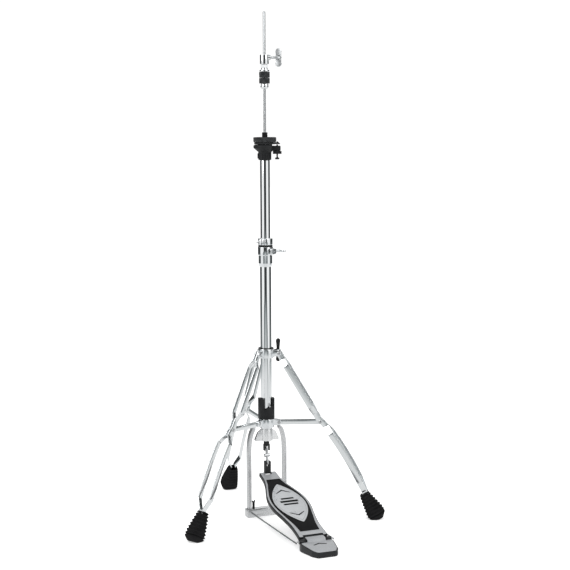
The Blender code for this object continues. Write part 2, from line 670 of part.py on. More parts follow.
def clutch(pull):
    axis = empty("clutch_axis", (0, 0, 0), parent=pull)
    bore_r = ROD_R + GAP
    body = [(bore_r, CLUTCH_TOP), (CLUTCH_R - 1 * MM, CLUTCH_TOP), (CLUTCH_R, CLUTCH_TOP - 1 * MM)]
    body += [(CLUTCH_R, CLUTCH_LOW + 0.5 * MM), (CLUTCH_R - 0.5 * MM, CLUTCH_LOW)]
    body += [(CLUTCH_SLEEVE_R, CLUTCH_LOW), (CLUTCH_SLEEVE_R, CLUTCH_SLEEVE_LOW), (bore_r, CLUTCH_SLEEVE_LOW)]
    made = turned("clutch_body", body, CHROME, 32)
    boss = rod("bolt_boss", 6.2 * MM, 4.5 * MM, 14 * MM, steps=20, group=cutters)
    hole = rod("bolt_bore", BOLT_BORE_R, 1 * MM, 30 * MM, steps=16, group=cutters)
    set_in = Matrix.Translation((0, 0, CLUTCH_BOLT_Z)) @ turn_z(ARM_AZIMUTH) @ ALONG_X
    made = join(made, moved(boss, set_in))
    made = cut(made, moved(hole, set_in))
    hung(smooth(made), axis)
    wide = CLUTCH_SLEEVE_R + GAP
    hat = LOCK_NUT_LOW - 0.5 * MM
    brim = FELT_TOP + 3.5 * MM
    washer = [(wide, hat), (6.6 * MM, hat), (7.4 * MM, hat - 1 * MM), (7.4 * MM, brim + 0.5 * MM)]
    washer += [(11 * MM, brim), (11 * MM, FELT_TOP + 2 * GAP), (wide, FELT_TOP + 2 * GAP)]
    hung(turned("clutch_top_washer", washer, CHROME, 28), axis)
    lock_nut = prism("clutch_lock_nut", 9.0 * MM, 6, LOCK_NUT_LOW, LOCK_NUT_TOP, CHROME)
    bore = rod("nut_bore", wide, LOCK_NUT_LOW - 10 * MM, LOCK_NUT_TOP + 10 * MM, group=cutters)
    hung(cut(lock_nut, bore), axis)
    middle = (FELT_TOP + FELT_LOW) / 2
    for name, low, high in (
        ("clutch_upper_felt", middle + GAP / 2, FELT_TOP),
        ("clutch_lower_felt", FELT_LOW + GAP, middle - GAP / 2),
    ):
        hung(ring(name, FELT_R, wide, low, high, FELT, 0.8 * MM, 32), axis)
    top = FELT_LOW - 0.2 * MM
    low = CLUTCH_SLEEVE_LOW + 0.7 * MM
    nut = [(wide, top), (8.6 * MM, top), (9 * MM, top - 0.6 * MM), (9 * MM, low + 3.8 * MM)]
    nut += [(7.2 * MM, low), (wide, low)]
    hung(turned("clutch_lower_nut", nut, CHROME, 28), empty("clutch_nut_axis", (0, 0, 0), parent=axis))
    start = turned_about(CLUTCH_BOLT_IN, ARM_AZIMUTH, CLUTCH_BOLT_Z)
    bolt_axis = empty("clutch_bolt_axis", start, math.radians(ARM_AZIMUTH), parent=axis)
    wings = (41 * MM, 14 * MM, 5 * MM)
    wing_bolt("clutch_wing_bolt", CHROME, 22.5 * MM, wings, True, bolt_axis, 0.85)


# -------------------------------------------------------------------- legs


def lug_pair(name, root, pivot, reach, half_high, inner_half):
    """Two cheeks in a radial plane around a leg's or strut's end, drawn at azimuth 0."""
    pivot_r, pivot_z = pivot
    shape = [(root, half_high)] + arc((pivot_r, 0), reach, 75, -75, 6) + [(root, -half_high)]
    cheeks = outline(name, shape, 2 * (inner_half + 2.6 * MM), group=cutters)
    moved(cheeks, Matrix.Translation((0, 0, pivot_z)) @ STAND_UP)
    gap_at = (BRACKET_R + 31 * MM, 0, pivot_z)
    return cut(cheeks, block(name + "_gap", (60 * MM, 2 * inner_half, 60 * MM), gap_at, group=cutters))


def collar_and_bracket():
    collar_axis = empty("collar_axis", (0, 0, 0))
    lined = SLEEVE_BORE_R + 1.5 * MM
    top = COLLAR_TOP - 1.7 * MM
    collar = ring("leg_collar", COLLAR_R, lined, COLLAR_LOW, top, CHROME, 0.8 * MM, 36)
    half = BRACE_NEAR + BRACE_THICK / 2 + GAP
    for azimuth in LEG_AZIMUTHS.values():
        lug = lug_pair("collar_lug", 15.6 * MM, (LEG_PIVOT_R, LEG_PIVOT_Z), 5.6 * MM, 9 * MM, half)
        collar = join(collar, moved(lug, turn_z(azimuth)))
    boss = rod("collar_boss", 6.5 * MM, 15.2 * MM, 24 * MM, steps=20, group=cutters)
    set_in = Matrix.Translation((0, 0, COLLAR_BOLT_Z)) @ turn_z(COLLAR_BOLT_AZIMUTH) @ ALONG_X
    hole = rod("collar_bolt_hole", BOLT_BORE_R, 5 * MM, 40 * MM, steps=16, group=cutters)
    collar = join(collar, moved(boss, set_in))
    collar = cut(collar, moved(hole, set_in))
    hung(smooth(collar), collar_axis)
    inner = SLEEVE_BORE_R
    outer = inner + 1.2 * MM
    rim_low = COLLAR_TOP - 1.4 * MM
    bush = [(inner, COLLAR_TOP), (COLLAR_R, COLLAR_TOP), (COLLAR_R, rim_low)]
    bush += [(outer, rim_low), (outer, COLLAR_LOW), (inner, COLLAR_LOW)]
    bush = turned("collar_bushing", bush, BLACK, 36)
    hole = rod("bush_hole", 3.6 * MM, 5 * MM, 40 * MM, steps=16, group=cutters)
    hung(smooth(cut(bush, moved(hole, set_in))), collar_axis)
    start = turned_about(COLLAR_BOLT_IN, COLLAR_BOLT_AZIMUTH, COLLAR_BOLT_Z)
    bolt_axis = empty("collar_bolt_axis", start, math.radians(COLLAR_BOLT_AZIMUTH), parent=collar_axis)
    wing_bolt("collar_wing_bolt", BLACK, 27 * MM, (54 * MM, 13 * MM, 5 * MM), True, bolt_axis)

    half = STRUT_THICK / 2 + GAP
    bracket = ring("lower_bracket", BRACKET_R, inner, BRACKET_LOW, BRACKET_TOP, CHROME, 0.8 * MM, 36)
    for azimuth in LEG_AZIMUTHS.values():
        lug = lug_pair("bracket_lug", 14.2 * MM, (STRUT_PIVOT_R, STRUT_PIVOT_Z), 7 * MM, 8 * MM, half)
        bracket = join(bracket, moved(lug, turn_z(azimuth)))
    smooth(bracket)
    return collar_axis


def brace(name, side, parent):
    """One strip of a leg: a band on edge, spread above and below the knee, its lower half bowed outwards."""
    path = [(-7 * MM, BRACE_NEAR), (16 * MM, BRACE_NEAR), (33 * MM, BRACE_UPPER_SPREAD)]
    path += [(142 * MM, BRACE_UPPER_SPREAD), (160 * MM, BRACE_NEAR), (198 * MM, BRACE_NEAR)]
    path += [(217 * MM, BRACE_LOWER_SPREAD), (260 * MM, BRACE_LOWER_SPREAD)]
    path += [(304 * MM, BRACE_LOWER_SPREAD), (348 * MM, BRACE_LOWER_SPREAD)]
    path += [(371 * MM, BRACE_FOOT_SPREAD), (BRACE_END, BRACE_FOOT_SPREAD)]
    outer = []
    inner = []
    for i, (down, out) in enumerate(path):
        before = path[max(i - 1, 0)]
        after = path[min(i + 1, len(path) - 1)]
        lean_in = math.atan2(out - before[1], down - before[0]) if i else None
        lean_out = math.atan2(after[1] - out, after[0] - down) if i < len(path) - 1 else None
        first = lean_out if lean_in is None else lean_in
        last = lean_in if lean_out is None else lean_out
        lean = (first + last) / 2
        mitre = BRACE_THICK / 2 / math.cos((first - last) / 2)
        outer.append((side * (out + mitre * math.cos(lean)), -(down - mitre * math.sin(lean))))
        inner.append((side * (out - mitre * math.cos(lean)), -(down + mitre * math.sin(lean))))
    strip = outline(name, outer + inner[::-1], BRACE_WIDTH, CHROME)
    moved(strip, ACROSS)
    for vertex in strip.data.vertices:
        along = (-vertex.co.z - BOW_TOP) / (BOW_BOTTOM - BOW_TOP)
        if BOW_MARGIN < along < 1 - BOW_MARGIN:
            vertex.co.x += LOWER_BOW * math.sqrt(math.sin(math.pi * along))
    return hung(baked(bevel(strip, 0.7 * MM, 1, 60)), parent)


def foot_shape():
    """The rubber boot's side outline, in the leg's radial plane with the hinge at the origin."""
    top = FOOT_TOP
    shape = [(-11 * MM, -top + 6 * MM), (13 * MM, -top + 6 * MM), (17 * MM, -top - 6 * MM)]
    shape += [(23 * MM, -top - 44 * MM), (20 * MM, -top - 55 * MM), (12 * MM, -top - 62 * MM)]
    shape += [(-8 * MM, -top - 62 * MM), (-21 * MM, -top - 47 * MM), (-16 * MM, -top - 6 * MM)]
    return shape


def leg(name, azimuth, collar_axis):
    at = Vector((LEG_PIVOT_R, 0, LEG_PIVOT_Z))
    at.rotate(Matrix.Rotation(azimuth, 3, "Z"))
    hinge = empty(f"leg_{name}_hinge", at, azimuth, LEG_TILT, collar_axis)
    brace(f"brace_{name}_a", 1, hinge)
    brace(f"brace_{name}_b", -1, hinge)
    foot_solid(f"foot_{name}", hinge)


def foot_solid(name, hinge):
    """Outer shape in the leg's own frame, flat where it meets the floor, with a pocket for the strips."""
    boot = outline(name, foot_shape(), 40 * MM, RUBBER)
    boot = moved(boot, STAND_UP)
    boot = baked(bevel(boot, 7 * MM, 2, 50))
    pocket_deep = BRACE_END + 1 * MM
    pocket = block(
        "foot_pocket",
        (BRACE_WIDTH + 2 * GAP, 2 * BRACE_FOOT_SPREAD + BRACE_THICK + 2 * GAP, 60 * MM),
        (0, 0, -pocket_deep + 30 * MM),
        group=cutters,
    )
    boot = cut(boot, pocket)
    hung(boot, hinge)
    bpy.context.view_layer.update()
    floor = block("floor", (1.2, 1.2, 0.2), (0, 0, -0.1), group=cutters)
    moved(floor, hinge.matrix_world.inverted())
    floor.parent = hinge
    bpy.context.view_layer.update()
    boot = cut(boot, floor)
    return smooth(boot, 50)


def strut(name, azimuth):
    at = Vector((STRUT_PIVOT_R, 0, STRUT_PIVOT_Z))
    at.rotate(Matrix.Rotation(azimuth, 3, "Z"))
    knee_r = LEG_PIVOT_R + KNEE_DOWN * math.sin(LEG_TILT)
    knee_z = LEG_PIVOT_Z - KNEE_DOWN * math.cos(LEG_TILT)
    long = math.hypot(knee_r - STRUT_PIVOT_R, knee_z - STRUT_PIVOT_Z)
    lean = math.atan2(knee_z - STRUT_PIVOT_Z, knee_r - STRUT_PIVOT_R)
    hinge = empty(f"strut_{name}_hinge", at, azimuth, lean)
    half = STRUT_WIDTH / 2
    shape = arc((0, 0), half, 90, 270, 6) + arc((long, 0), half, -90, 90, 6)
    bar = outline(f"strut_{name}", shape, STRUT_THICK, CHROME, holes=[circle(2.7 * MM, 12)])
    hung(moved(bar, STAND_UP), hinge)


# ------------------------------------------------------------------- frame


def frame():
    yoke = ring("frame_yoke", YOKE_R, BASE_BORE_R, YOKE_LOW, YOKE_TOP, CAST)
    web = [(8 * MM, YOKE_TOP - 0.5 * MM), (13 * MM, YOKE_TOP - 0.5 * MM), (22 * MM, YOKE_TOP - 8 * MM)]
    web += [(29 * MM, YOKE_LOW + 4 * MM), (29 * MM, YOKE_LOW + 0.5 * MM), (8 * MM, YOKE_LOW + 0.5 * MM)]
    for side in (1, -1):
        shape = [(side * x, z) for x, z in web]
        plate = outline("yoke_web", shape, WEB_THICK, group=cutters)
        yoke = join(yoke, moved(plate, STAND_UP))

    for name, side in (("left", -1), ("right", 1)):
        outer = post_path(POST_WIDE / 2)
        inner = post_path(-POST_WIDE / 2)
        shape = [(side * x, z) for x, z in outer + inner[::-1]]
        post = outline(f"frame_post_{name}", shape, POST_DEEP, CAST)
        moved(post, STAND_UP)
        post = baked(bevel(post, 1.2 * MM, 1, 50))
        room_at = (0, 0, (YOKE_LOW + YOKE_TOP) / 2)
        room = block("web_room", (62 * MM, WEB_THICK + 2 * GAP, 60 * MM), room_at, group=cutters)
        smooth(cut(post, room))
    smooth(yoke)

    plate = block("base_plate", (PLATE_LONG, PLATE_DEEP, PLATE_HIGH), (0, 0, PLATE_HIGH / 2), CAST, 1.2 * MM)
    for name, side in (("left", -1), ("right", 1)):
        hole = rod("spur_hole", 3.3 * MM, -2 * PLATE_HIGH, 2 * PLATE_HIGH, steps=16, group=cutters)
        plate = cut(plate, moved(hole, Matrix.Translation((side * SPUR_X, 0, 0))))
        knob_low = SPUR_TOP - 1 * MM
        point = [(0, SPUR_TOP), (2.2 * MM, SPUR_TOP), (3 * MM, knob_low), (3 * MM, 6 * MM), (0, SPUR_TIP)]
        axis = empty(f"spur_{name}_axis", (side * SPUR_X, 0, 0))
        spur = turned(f"spur_{name}", point, BLACK_METAL, 14)
        knob = ring("spur_knob", 5 * MM, 2.9 * MM, knob_low, SPUR_TOP + 3 * MM, steps=14, group=cutters)
        hung(smooth(join(spur, knob)), axis)
        start = (side * 40 * MM, -PLATE_DEEP / 2 - 0.5 * MM, 0.0105)
        end = (side * 43.5 * MM, HEEL_Y + 6 * MM, HEEL_Z - 2 * MM)
        radius_rod(f"radius_rod_{name}", start, end)


def post_path(offset):
    """The post's side: straight up from the base plate, then curving in to the yoke."""
    bend_x = 14.5 * MM
    rise = YOKE_TOP - 1 * MM - POST_BEND_Z
    points = [(POST_X + offset, POST_LOW), (POST_X + offset, POST_BEND_Z)]
    steps = 6
    for i in range(1, steps + 1):
        turn = math.pi / 2 * i / steps
        x = POST_X - bend_x * (1 - math.cos(turn))
        z = POST_BEND_Z + rise * math.sin(turn)
        slope = math.atan2(rise * math.cos(turn), -bend_x * math.sin(turn))
        points.append((x + offset * math.sin(slope), z - offset * math.cos(slope)))
    return points


def radius_rod(name, start, end):
    """A bent wire from the base plate's front edge to an eye beside the heel hinge."""
    path = [start, (start[0], start[1] - 8 * MM, start[2])]
    path += [(end[0], end[1] + 22 * MM, end[2]), (end[0], end[1] - 6 * MM, end[2])]
    wire(name, path, 2.0 * MM, STEEL)


# ------------------------------------------------------------------- pedal


def board_half(reach):
    """Half the board's width at this share of the way from the heel hinge to the toe."""
    for (a, low), (b, high) in zip(BOARD_HALF_WIDTHS, BOARD_HALF_WIDTHS[1:]):
        if reach <= b:
            return (low + (high - low) * (reach - a) / (b - a)) * MM
    return BOARD_HALF_WIDTHS[-1][1] * MM


def board_outline(first, last, inset, steps, heel_inset=0.0):
    """Outline between two shares of the board's length, drawn in by inset, and by more towards the heel."""
    shares = [first + (last - first) * i / steps for i in range(steps + 1)]
    halves = [board_half(s) - inset - heel_inset * max(0, 1 - (s - first) / GRIP_TAPER) for s in shares]
    left = [(-half, s * BOARD_LENGTH) for half, s in zip(halves, shares)]
    right = [(half, s * BOARD_LENGTH) for half, s in zip(halves, shares)]
    return left + right[::-1]


def footboard():
    hinge = empty("footboard_hinge", (0, HEEL_Y, HEEL_Z))
    hinge.rotation_euler = (BOARD_SLOPE, 0, 0)
    board = outline("footboard", board_outline(0.035, 1.0, 0, 18), BOARD_THICK, BLACK_METAL)
    moved(board, Matrix.Translation((0, 0, BOARD_TOP - BOARD_THICK / 2)))
    board = baked(bevel(board, 1.2 * MM, 1, 60))
    knuckle = rod("board_knuckle", 4.5 * MM, -25 * MM, 25 * MM, steps=20, group=cutters)
    arm = block("board_arm", (50 * MM, 16 * MM, 5.5 * MM), (0, 7 * MM, 0.2 * MM), group=cutters)
    board = join(join(board, moved(knuckle, ALONG_X)), arm)
    bore = rod("board_bore", HINGE_BORE_R, -60 * MM, 60 * MM, steps=16, group=cutters)
    board = cut(board, moved(bore, ALONG_X))
    toe_slot = block("toe_slot", (15 * MM, 40 * MM, 30 * MM), (0, TOE_SLOT + 20 * MM, 0), group=cutters)
    tongue_room = block("tongue_room", (46 * MM, 31 * MM, 20 * MM), (0, 0, 13.3 * MM), group=cutters)
    board = cut(cut(board, toe_slot), tongue_room)
    hung(smooth(board, 50), hinge)

    edge = board_outline(GRIP_FROM, GRIP_TO, 5.5 * MM, 14, GRIP_HEEL_INSET)
    pad = outline("footboard_grip", edge, 0.8 * MM, RUBBER)
    hung(moved(pad, Matrix.Translation((0, 0, BOARD_TOP + GAP + 0.4 * MM))), hinge)
    middle = PANEL_MIDDLE * BOARD_LENGTH
    steps = 20
    almond = []
    for i in range(steps):
        turn = 2 * math.pi * i / steps
        across = math.copysign(PANEL_HALF_WIDE * abs(math.sin(turn)) ** 1.3, math.sin(turn))
        almond.append((-across, middle + PANEL_HALF_LONG * math.cos(turn)))
    panel = outline("footboard_panel", almond, 0.8 * MM, SILVER)
    hung(moved(panel, Matrix.Translation((0, 0, BOARD_TOP + 2 * GAP + 1.2 * MM))), hinge)

    toe = block("toe_block", (14.4 * MM, 13 * MM, 30 * MM), (0, 0, 0), BLACK_METAL, 1.5 * MM)
    slot = block("toe_fork", (7.6 * MM, 30 * MM, 20 * MM), (0, 0, 12 * MM), group=cutters)
    toe = cut(toe, slot)
    pin = rod("toe_pin", LINK_PIN_R, -6.8 * MM, 6.8 * MM, steps=14, group=cutters)
    toe = join(toe, moved(pin, Matrix.Translation((0, 0, TOE_PIN_UP)) @ ALONG_X))
    toe_at = Vector((0, TOE_Y - HEEL_Y, TOE_PIN_Z - TOE_PIN_UP - HEEL_Z))
    toe_at.rotate(Matrix.Rotation(-BOARD_SLOPE, 3, "X"))
    hung(toe, hinge, toe_at, (-BOARD_SLOPE, 0, 0))


def heel_pieces():
    """The heel's base with the hinge's two outer ears, its cover with a tongue, and the pin."""
    at_hinge = Matrix.Translation((0, HEEL_Y, HEEL_Z))
    heel = [(-37 * MM, HEEL_Y + 3 * MM), (-38 * MM, HEEL_Y - 14 * MM), (-30 * MM, HEEL_BACK_Y + 14 * MM)]
    heel += [(-22 * MM, HEEL_BACK_Y), (22 * MM, HEEL_BACK_Y), (30 * MM, HEEL_BACK_Y + 14 * MM)]
    heel += [(38 * MM, HEEL_Y - 14 * MM), (37 * MM, HEEL_Y + 3 * MM)]
    body = outline("heel_base", heel, 24 * MM, BLACK_METAL)
    moved(body, Matrix.Translation((0, 0, 12 * MM)))
    tilted = Matrix.Rotation(HEEL_SLOPE, 4, "X")
    off = block("heel_top_cut", (0.2, 0.2, 0.04), (0, 0, 0.02), group=cutters)
    body = cut(body, moved(off, Matrix.Translation((0, HEEL_Y, HEEL_TOP)) @ tilted))
    wide = 2 * HEEL_EAR_IN
    room_at = (0, HEEL_Y + 8 * MM, HEEL_Z + 11 * MM)
    body = cut(body, block("knuckle_room", (wide, 30 * MM, 40 * MM), room_at, group=cutters))
    well = rod("knuckle_well", 6.2 * MM, -HEEL_EAR_IN, HEEL_EAR_IN, steps=24, group=cutters)
    body = cut(body, moved(well, at_hinge @ ALONG_X))
    ears = rod("heel_ears", 5 * MM, -37 * MM, 37 * MM, steps=20, group=cutters)
    between = block("ear_gap", (wide, 40 * MM, 40 * MM), (0, 0, 0), group=cutters)
    ears = cut(moved(ears, ALONG_X), between)
    body = join(body, moved(ears, at_hinge))
    pin_hole = rod("hinge_hole", HINGE_BORE_R, -60 * MM, 60 * MM, steps=16, group=cutters)
    smooth(cut(body, moved(pin_hole, at_hinge @ ALONG_X)), 50)

    front = -8 * MM
    cover = [(-35 * MM, front)]
    cover += [(x * 0.93, front + (y - HEEL_Y - front) * 0.96) for x, y in heel[1:-1]]
    cover += [(35 * MM, front)]
    cover = outline("heel_plate", cover, 1.6 * MM, SILVER)
    moved(cover, Matrix.Translation((0, HEEL_Y, HEEL_TOP + GAP + 0.8 * MM)) @ tilted)
    tongue = [(-14 * MM, -1.7 * MM), (-9.3 * MM, -0.9 * MM), (-6.2 * MM, 4.6 * MM), (8.5 * MM, 7.4 * MM)]
    tongue += [(8.5 * MM, 8.6 * MM), (-6.9 * MM, 5.8 * MM), (-10.3 * MM, 0.3 * MM), (-14 * MM, -0.4 * MM)]
    tongue = moved(outline("heel_tongue", tongue, 42 * MM, group=cutters), at_hinge @ ACROSS)
    smooth(join(cover, tongue))
    pin = rod("hinge_pin", 2.0 * MM, -40.5 * MM, 40.5 * MM, STEEL, 0.4 * MM, 16)
    hung(moved(pin, ALONG_X), None, (0, HEEL_Y, HEEL_Z))


def pull_link(pull):
    """The nut and fork on the rod's end, and the chain link down to the toe."""
    nut = prism("rod_nut", 7.0 * MM, 6, ROD_NUT_LOW, ROD_NUT_TOP, BLACK_METAL)
    low = LINK_TOP_Z - 7 * MM
    high = ROD_NUT_LOW + 1 * MM
    fork_size = (FORK_WIDE, 8 * MM, high - low)
    fork = block("fork", fork_size, (0, 0, (high + low) / 2), rounding=1.2 * MM, group=cutters)
    gap = block("fork_gap", (9.6 * MM, 30 * MM, 16 * MM), (0, 0, LINK_TOP_Z - 3.0 * MM), group=cutters)
    nut = cut(join(nut, fork), gap)
    pin = rod("link_pin", LINK_PIN_R, -7 * MM, 7 * MM, steps=14, group=cutters)
    nut = join(nut, moved(pin, Matrix.Translation((0, 0, LINK_TOP_Z)) @ ALONG_X))
    hung(smooth(nut), pull)
    drop = LINK_TOP_Z - TOE_PIN_Z
    swing = math.atan2(TOE_Y, drop)
    axis = empty("pull_link_axis", (0, 0, LINK_TOP_Z), parent=pull)
    axis.rotation_euler = (swing, 0, 0)
    long = math.hypot(TOE_Y, drop)
    shape = arc((0, 0), 4.4 * MM, 180, 0, 8) + [(2.6 * MM, -long / 2)]
    shape += arc((0, -long), 4.4 * MM, 0, -180, 8) + [(-2.6 * MM, -long / 2)]
    holes = [circle(LINK_HOLE_R, 12), circle(LINK_HOLE_R + TOE_PLAY, 12, (0, -long))]
    link = outline("chain_link", shape, 4.4 * MM, STEEL, holes=holes)
    roller = rod("link_roller", LINK_ROLLER_R, -7 * MM, 7 * MM, steps=20, group=cutters)
    roller = moved(roller, Matrix.Translation((0, 0, -long / 2)) @ ALONG_X)
    hung(smooth(join(moved(link, ACROSS), roller)), axis)


def main():
    pull = rods()
    tension()
    tube_axis = tubes()
    memory_lock(tube_axis)
    seat(tube_axis)
    clutch(pull)
    collar_axis = collar_and_bracket()
    for name, degrees in LEG_AZIMUTHS.items():
        leg(name, math.radians(degrees), collar_axis)
        strut(name, math.radians(degrees))
    frame()
    footboard()
    heel_pieces()
    pull_link(pull)


main()
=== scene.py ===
"""Looks for the hi-hat stand: chrome tubes, rods and legs, a black seat and boots, a two-tone footboard.

Metres, +Z up. The camera stands at the front left, and the shaft stands on the origin.
"""

import json
import math

import bmesh
import bpy
from mathutils import Matrix, Vector, noise


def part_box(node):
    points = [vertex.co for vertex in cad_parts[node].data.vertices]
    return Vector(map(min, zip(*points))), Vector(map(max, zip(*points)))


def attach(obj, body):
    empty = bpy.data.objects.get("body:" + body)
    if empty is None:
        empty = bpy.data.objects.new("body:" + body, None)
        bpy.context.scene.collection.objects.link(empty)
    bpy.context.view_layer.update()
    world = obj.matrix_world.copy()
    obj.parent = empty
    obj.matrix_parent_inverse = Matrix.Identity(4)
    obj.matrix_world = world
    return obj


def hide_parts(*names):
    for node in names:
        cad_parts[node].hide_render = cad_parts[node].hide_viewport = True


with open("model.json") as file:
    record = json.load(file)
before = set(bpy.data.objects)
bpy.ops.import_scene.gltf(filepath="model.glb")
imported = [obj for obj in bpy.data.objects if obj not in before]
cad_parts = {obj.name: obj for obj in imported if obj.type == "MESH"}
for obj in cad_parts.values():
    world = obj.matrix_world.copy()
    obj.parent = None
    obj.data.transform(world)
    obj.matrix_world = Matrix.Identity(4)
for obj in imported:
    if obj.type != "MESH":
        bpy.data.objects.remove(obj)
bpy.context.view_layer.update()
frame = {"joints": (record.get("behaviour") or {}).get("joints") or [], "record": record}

MM = 0.001

BODY_OF = {}
for body_name, members in frame["record"]["behaviour"]["bodies"].items():
    for member in members:
        BODY_OF[member] = body_name
JOINTS = {joint["name"]: joint for joint in frame["joints"]}


def anchor(joint):
    """Where a joint's axis passes, in metres."""
    return Vector(JOINTS[joint]["pos_m"])


def heading(joint):
    """Which way a joint's level axis points, in degrees about Z."""
    axis = JOINTS[joint]["axis"]
    return math.degrees(math.atan2(axis[1], axis[0]))


def span(node):
    """Lowest and highest point of a CAD node."""
    low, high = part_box(node)
    return low.z, high.z


def wide(node):
    """Half the width of a CAD node that is turned about the shaft."""
    low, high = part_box(node)
    return (high.x - low.x) / 2


# ---------------------------------------------------------------- materials

RAMP_ENDS = (0.36, 0.62)
ROUGH_ENDS = (0.35, 0.65)
SPECKS_PER_METRE = 2600.0


def add(tree, kind, inputs=None, **settings):
    """A new shader node with these settings and constant inputs."""
    made = tree.nodes.new("ShaderNode" + kind)
    for name, value in settings.items():
        setattr(made, name, value)
    for socket, value in (inputs or {}).items():
        made.inputs[socket].default_value = value
    return made


def stretched(tree, where, scale):
    """Coordinates scaled alike in each direction, or by three scales."""
    scales = scale if isinstance(scale, tuple) else (scale, scale, scale)
    made = add(tree, "Mapping", {"Scale": scales})
    tree.links.new(where, made.inputs["Vector"])
    return made.outputs["Vector"]


def grainy(tree, where, scale, detail, roughness):
    made = add(tree, "TexNoise", {"Scale": scale, "Detail": detail, "Roughness": roughness})
    tree.links.new(where, made.inputs["Vector"])
    return made.outputs["Fac"]


def ranged(tree, value, before, after):
    """A value taken from one range to another."""
    ends = ("From Min", "From Max", "To Min", "To Max")
    made = add(tree, "MapRange", dict(zip(ends, (*before, *after))))
    tree.links.new(value, made.inputs["Value"])
    return made.outputs["Result"]


def speckled(tree, where, colour, amount):
    """The colour darkened by up to this amount, cell by cell."""
    cells = add(tree, "TexVoronoi", {"Scale": SPECKS_PER_METRE})
    tree.links.new(where, cells.inputs["Vector"])
    split = add(tree, "SeparateColor")
    tree.links.new(cells.outputs["Color"], split.inputs["Color"])
    glint = ranged(tree, split.outputs["Red"], (0.0, 1.0), (1.0 - amount, 1.0))
    mix = add(tree, "Mix", {"Factor": 1.0}, data_type="RGBA", blend_type="MULTIPLY")
    tree.links.new(colour, mix.inputs["A"])
    tree.links.new(glint, mix.inputs["B"])
    return mix.outputs["Result"]


def surface(
    name, light, dark, rough, metallic, grain, patch,
    bump=0.0, bump_grain=0.0, depth=0.0, specular=0.5, sheen=0.0, coat=0.0, speckle=0.0,
):
    """A procedural finish: two tones mixed by grain and patches, a roughness to match, and a fine bump."""
    made = bpy.data.materials.new(name)
    made.use_nodes = True
    tree = made.node_tree
    shader = tree.nodes["Principled BSDF"]
    constants = {
        "Metallic": metallic, "Specular IOR Level": specular, "Sheen Weight": sheen,
        "Sheen Roughness": 0.6, "Coat Weight": coat, "Coat Roughness": 0.15,
    }
    for socket, value in constants.items():
        shader.inputs[socket].default_value = value

    where = add(tree, "TexCoord").outputs["Object"]
    fine = grainy(tree, stretched(tree, where, grain), 1.0, 4.0, 0.6)
    broad = grainy(tree, where, patch, 3.0, 0.5)
    half = add(tree, "Math", {1: 0.5}, operation="MULTIPLY")
    tree.links.new(broad, half.inputs[0])
    both = add(tree, "Math", {1: 0.5}, operation="MULTIPLY_ADD")
    tree.links.new(fine, both.inputs[0])
    tree.links.new(half.outputs[0], both.inputs[2])
    mottle = both.outputs[0]

    ramp = add(tree, "ValToRGB")
    for element, position, tone in zip(ramp.color_ramp.elements, RAMP_ENDS, (dark, light)):
        element.position = position
        element.color = (*tone, 1)
    tree.links.new(mottle, ramp.inputs["Fac"])
    colour = ramp.outputs["Color"]
    if speckle:
        colour = speckled(tree, where, colour, speckle)
    tree.links.new(colour, shader.inputs["Base Color"])
    tree.links.new(ranged(tree, mottle, ROUGH_ENDS, rough), shader.inputs["Roughness"])
    if bump:
        relief = add(tree, "Bump", {"Strength": bump, "Distance": depth})
        bumps = grainy(tree, stretched(tree, where, bump_grain), 1.0, 3.0, 0.55)
        tree.links.new(bumps, relief.inputs["Height"])
        tree.links.new(relief.outputs["Normal"], shader.inputs["Normal"])
    return made


CHROME = surface(
    "polished_chrome", (0.90, 0.915, 0.92), (0.84, 0.86, 0.87), (0.03, 0.10), 1.0,
    grain=(260, 260, 40), patch=14, bump=0.05, bump_grain=(500, 500, 60), depth=0.03 * MM,
)
CHROME_CAST = surface(
    "cast_chrome", (0.88, 0.90, 0.91), (0.80, 0.82, 0.835), (0.05, 0.16), 1.0,
    grain=220, patch=40, bump=0.12, bump_grain=260, depth=0.06 * MM,
)
CHROME_SATIN = surface(
    "satin_chrome", (0.64, 0.655, 0.665), (0.56, 0.575, 0.585), (0.30, 0.38), 1.0,
    grain=220, patch=40, bump=0.12, bump_grain=260, depth=0.06 * MM,
)
CHROME_STRIP = surface(
    "plated_strip", (0.89, 0.905, 0.91), (0.80, 0.82, 0.83), (0.07, 0.20), 1.0,
    grain=(160, 160, 50), patch=26, bump=0.10, bump_grain=(300, 300, 90), depth=0.06 * MM,
)
ROD_STEEL = surface(
    "polished_rod", (0.56, 0.575, 0.585), (0.49, 0.505, 0.515), (0.17, 0.24), 1.0,
    grain=(300, 300, 30), patch=12,
)
STEEL = surface(
    "zinc_steel", (0.62, 0.63, 0.635), (0.46, 0.47, 0.48), (0.22, 0.38), 1.0,
    grain=(900, 900, 120), patch=60, bump=0.2, bump_grain=(1500, 1500, 200), depth=0.05 * MM,
)
CAST = surface(
    "silver_casting", (0.74, 0.745, 0.755), (0.62, 0.63, 0.64), (0.20, 0.32), 0.85,
    grain=500, patch=35, bump=0.3, bump_grain=900, depth=0.08 * MM, speckle=0.25,
)
# The yoke's copy of the silver casting: the same finish, painted lighter as painted light where the yoke
# catches the light.
CAST_PAINTED_LIGHT = surface(
    "cast_painted_light", (0.930, 0.930, 0.930), (0.868, 0.882, 0.896), (0.20, 0.32), 0.85,
    grain=500, patch=35, bump=0.3, bump_grain=900, depth=0.08 * MM, speckle=0.25,
)
PLASTIC = surface(
    "black_plastic", (0.016, 0.017, 0.018), (0.008, 0.0085, 0.009), (0.36, 0.52), 0.0,
    grain=700, patch=50, bump=0.35, bump_grain=1600, depth=0.08 * MM, specular=0.14,
)
BLACK_METAL = surface(
    "black_enamel", (0.017, 0.018, 0.019), (0.009, 0.0095, 0.010), (0.26, 0.42), 0.0,
    grain=500, patch=40, bump=0.3, bump_grain=800, depth=0.08 * MM, specular=0.2, coat=0.05,
)
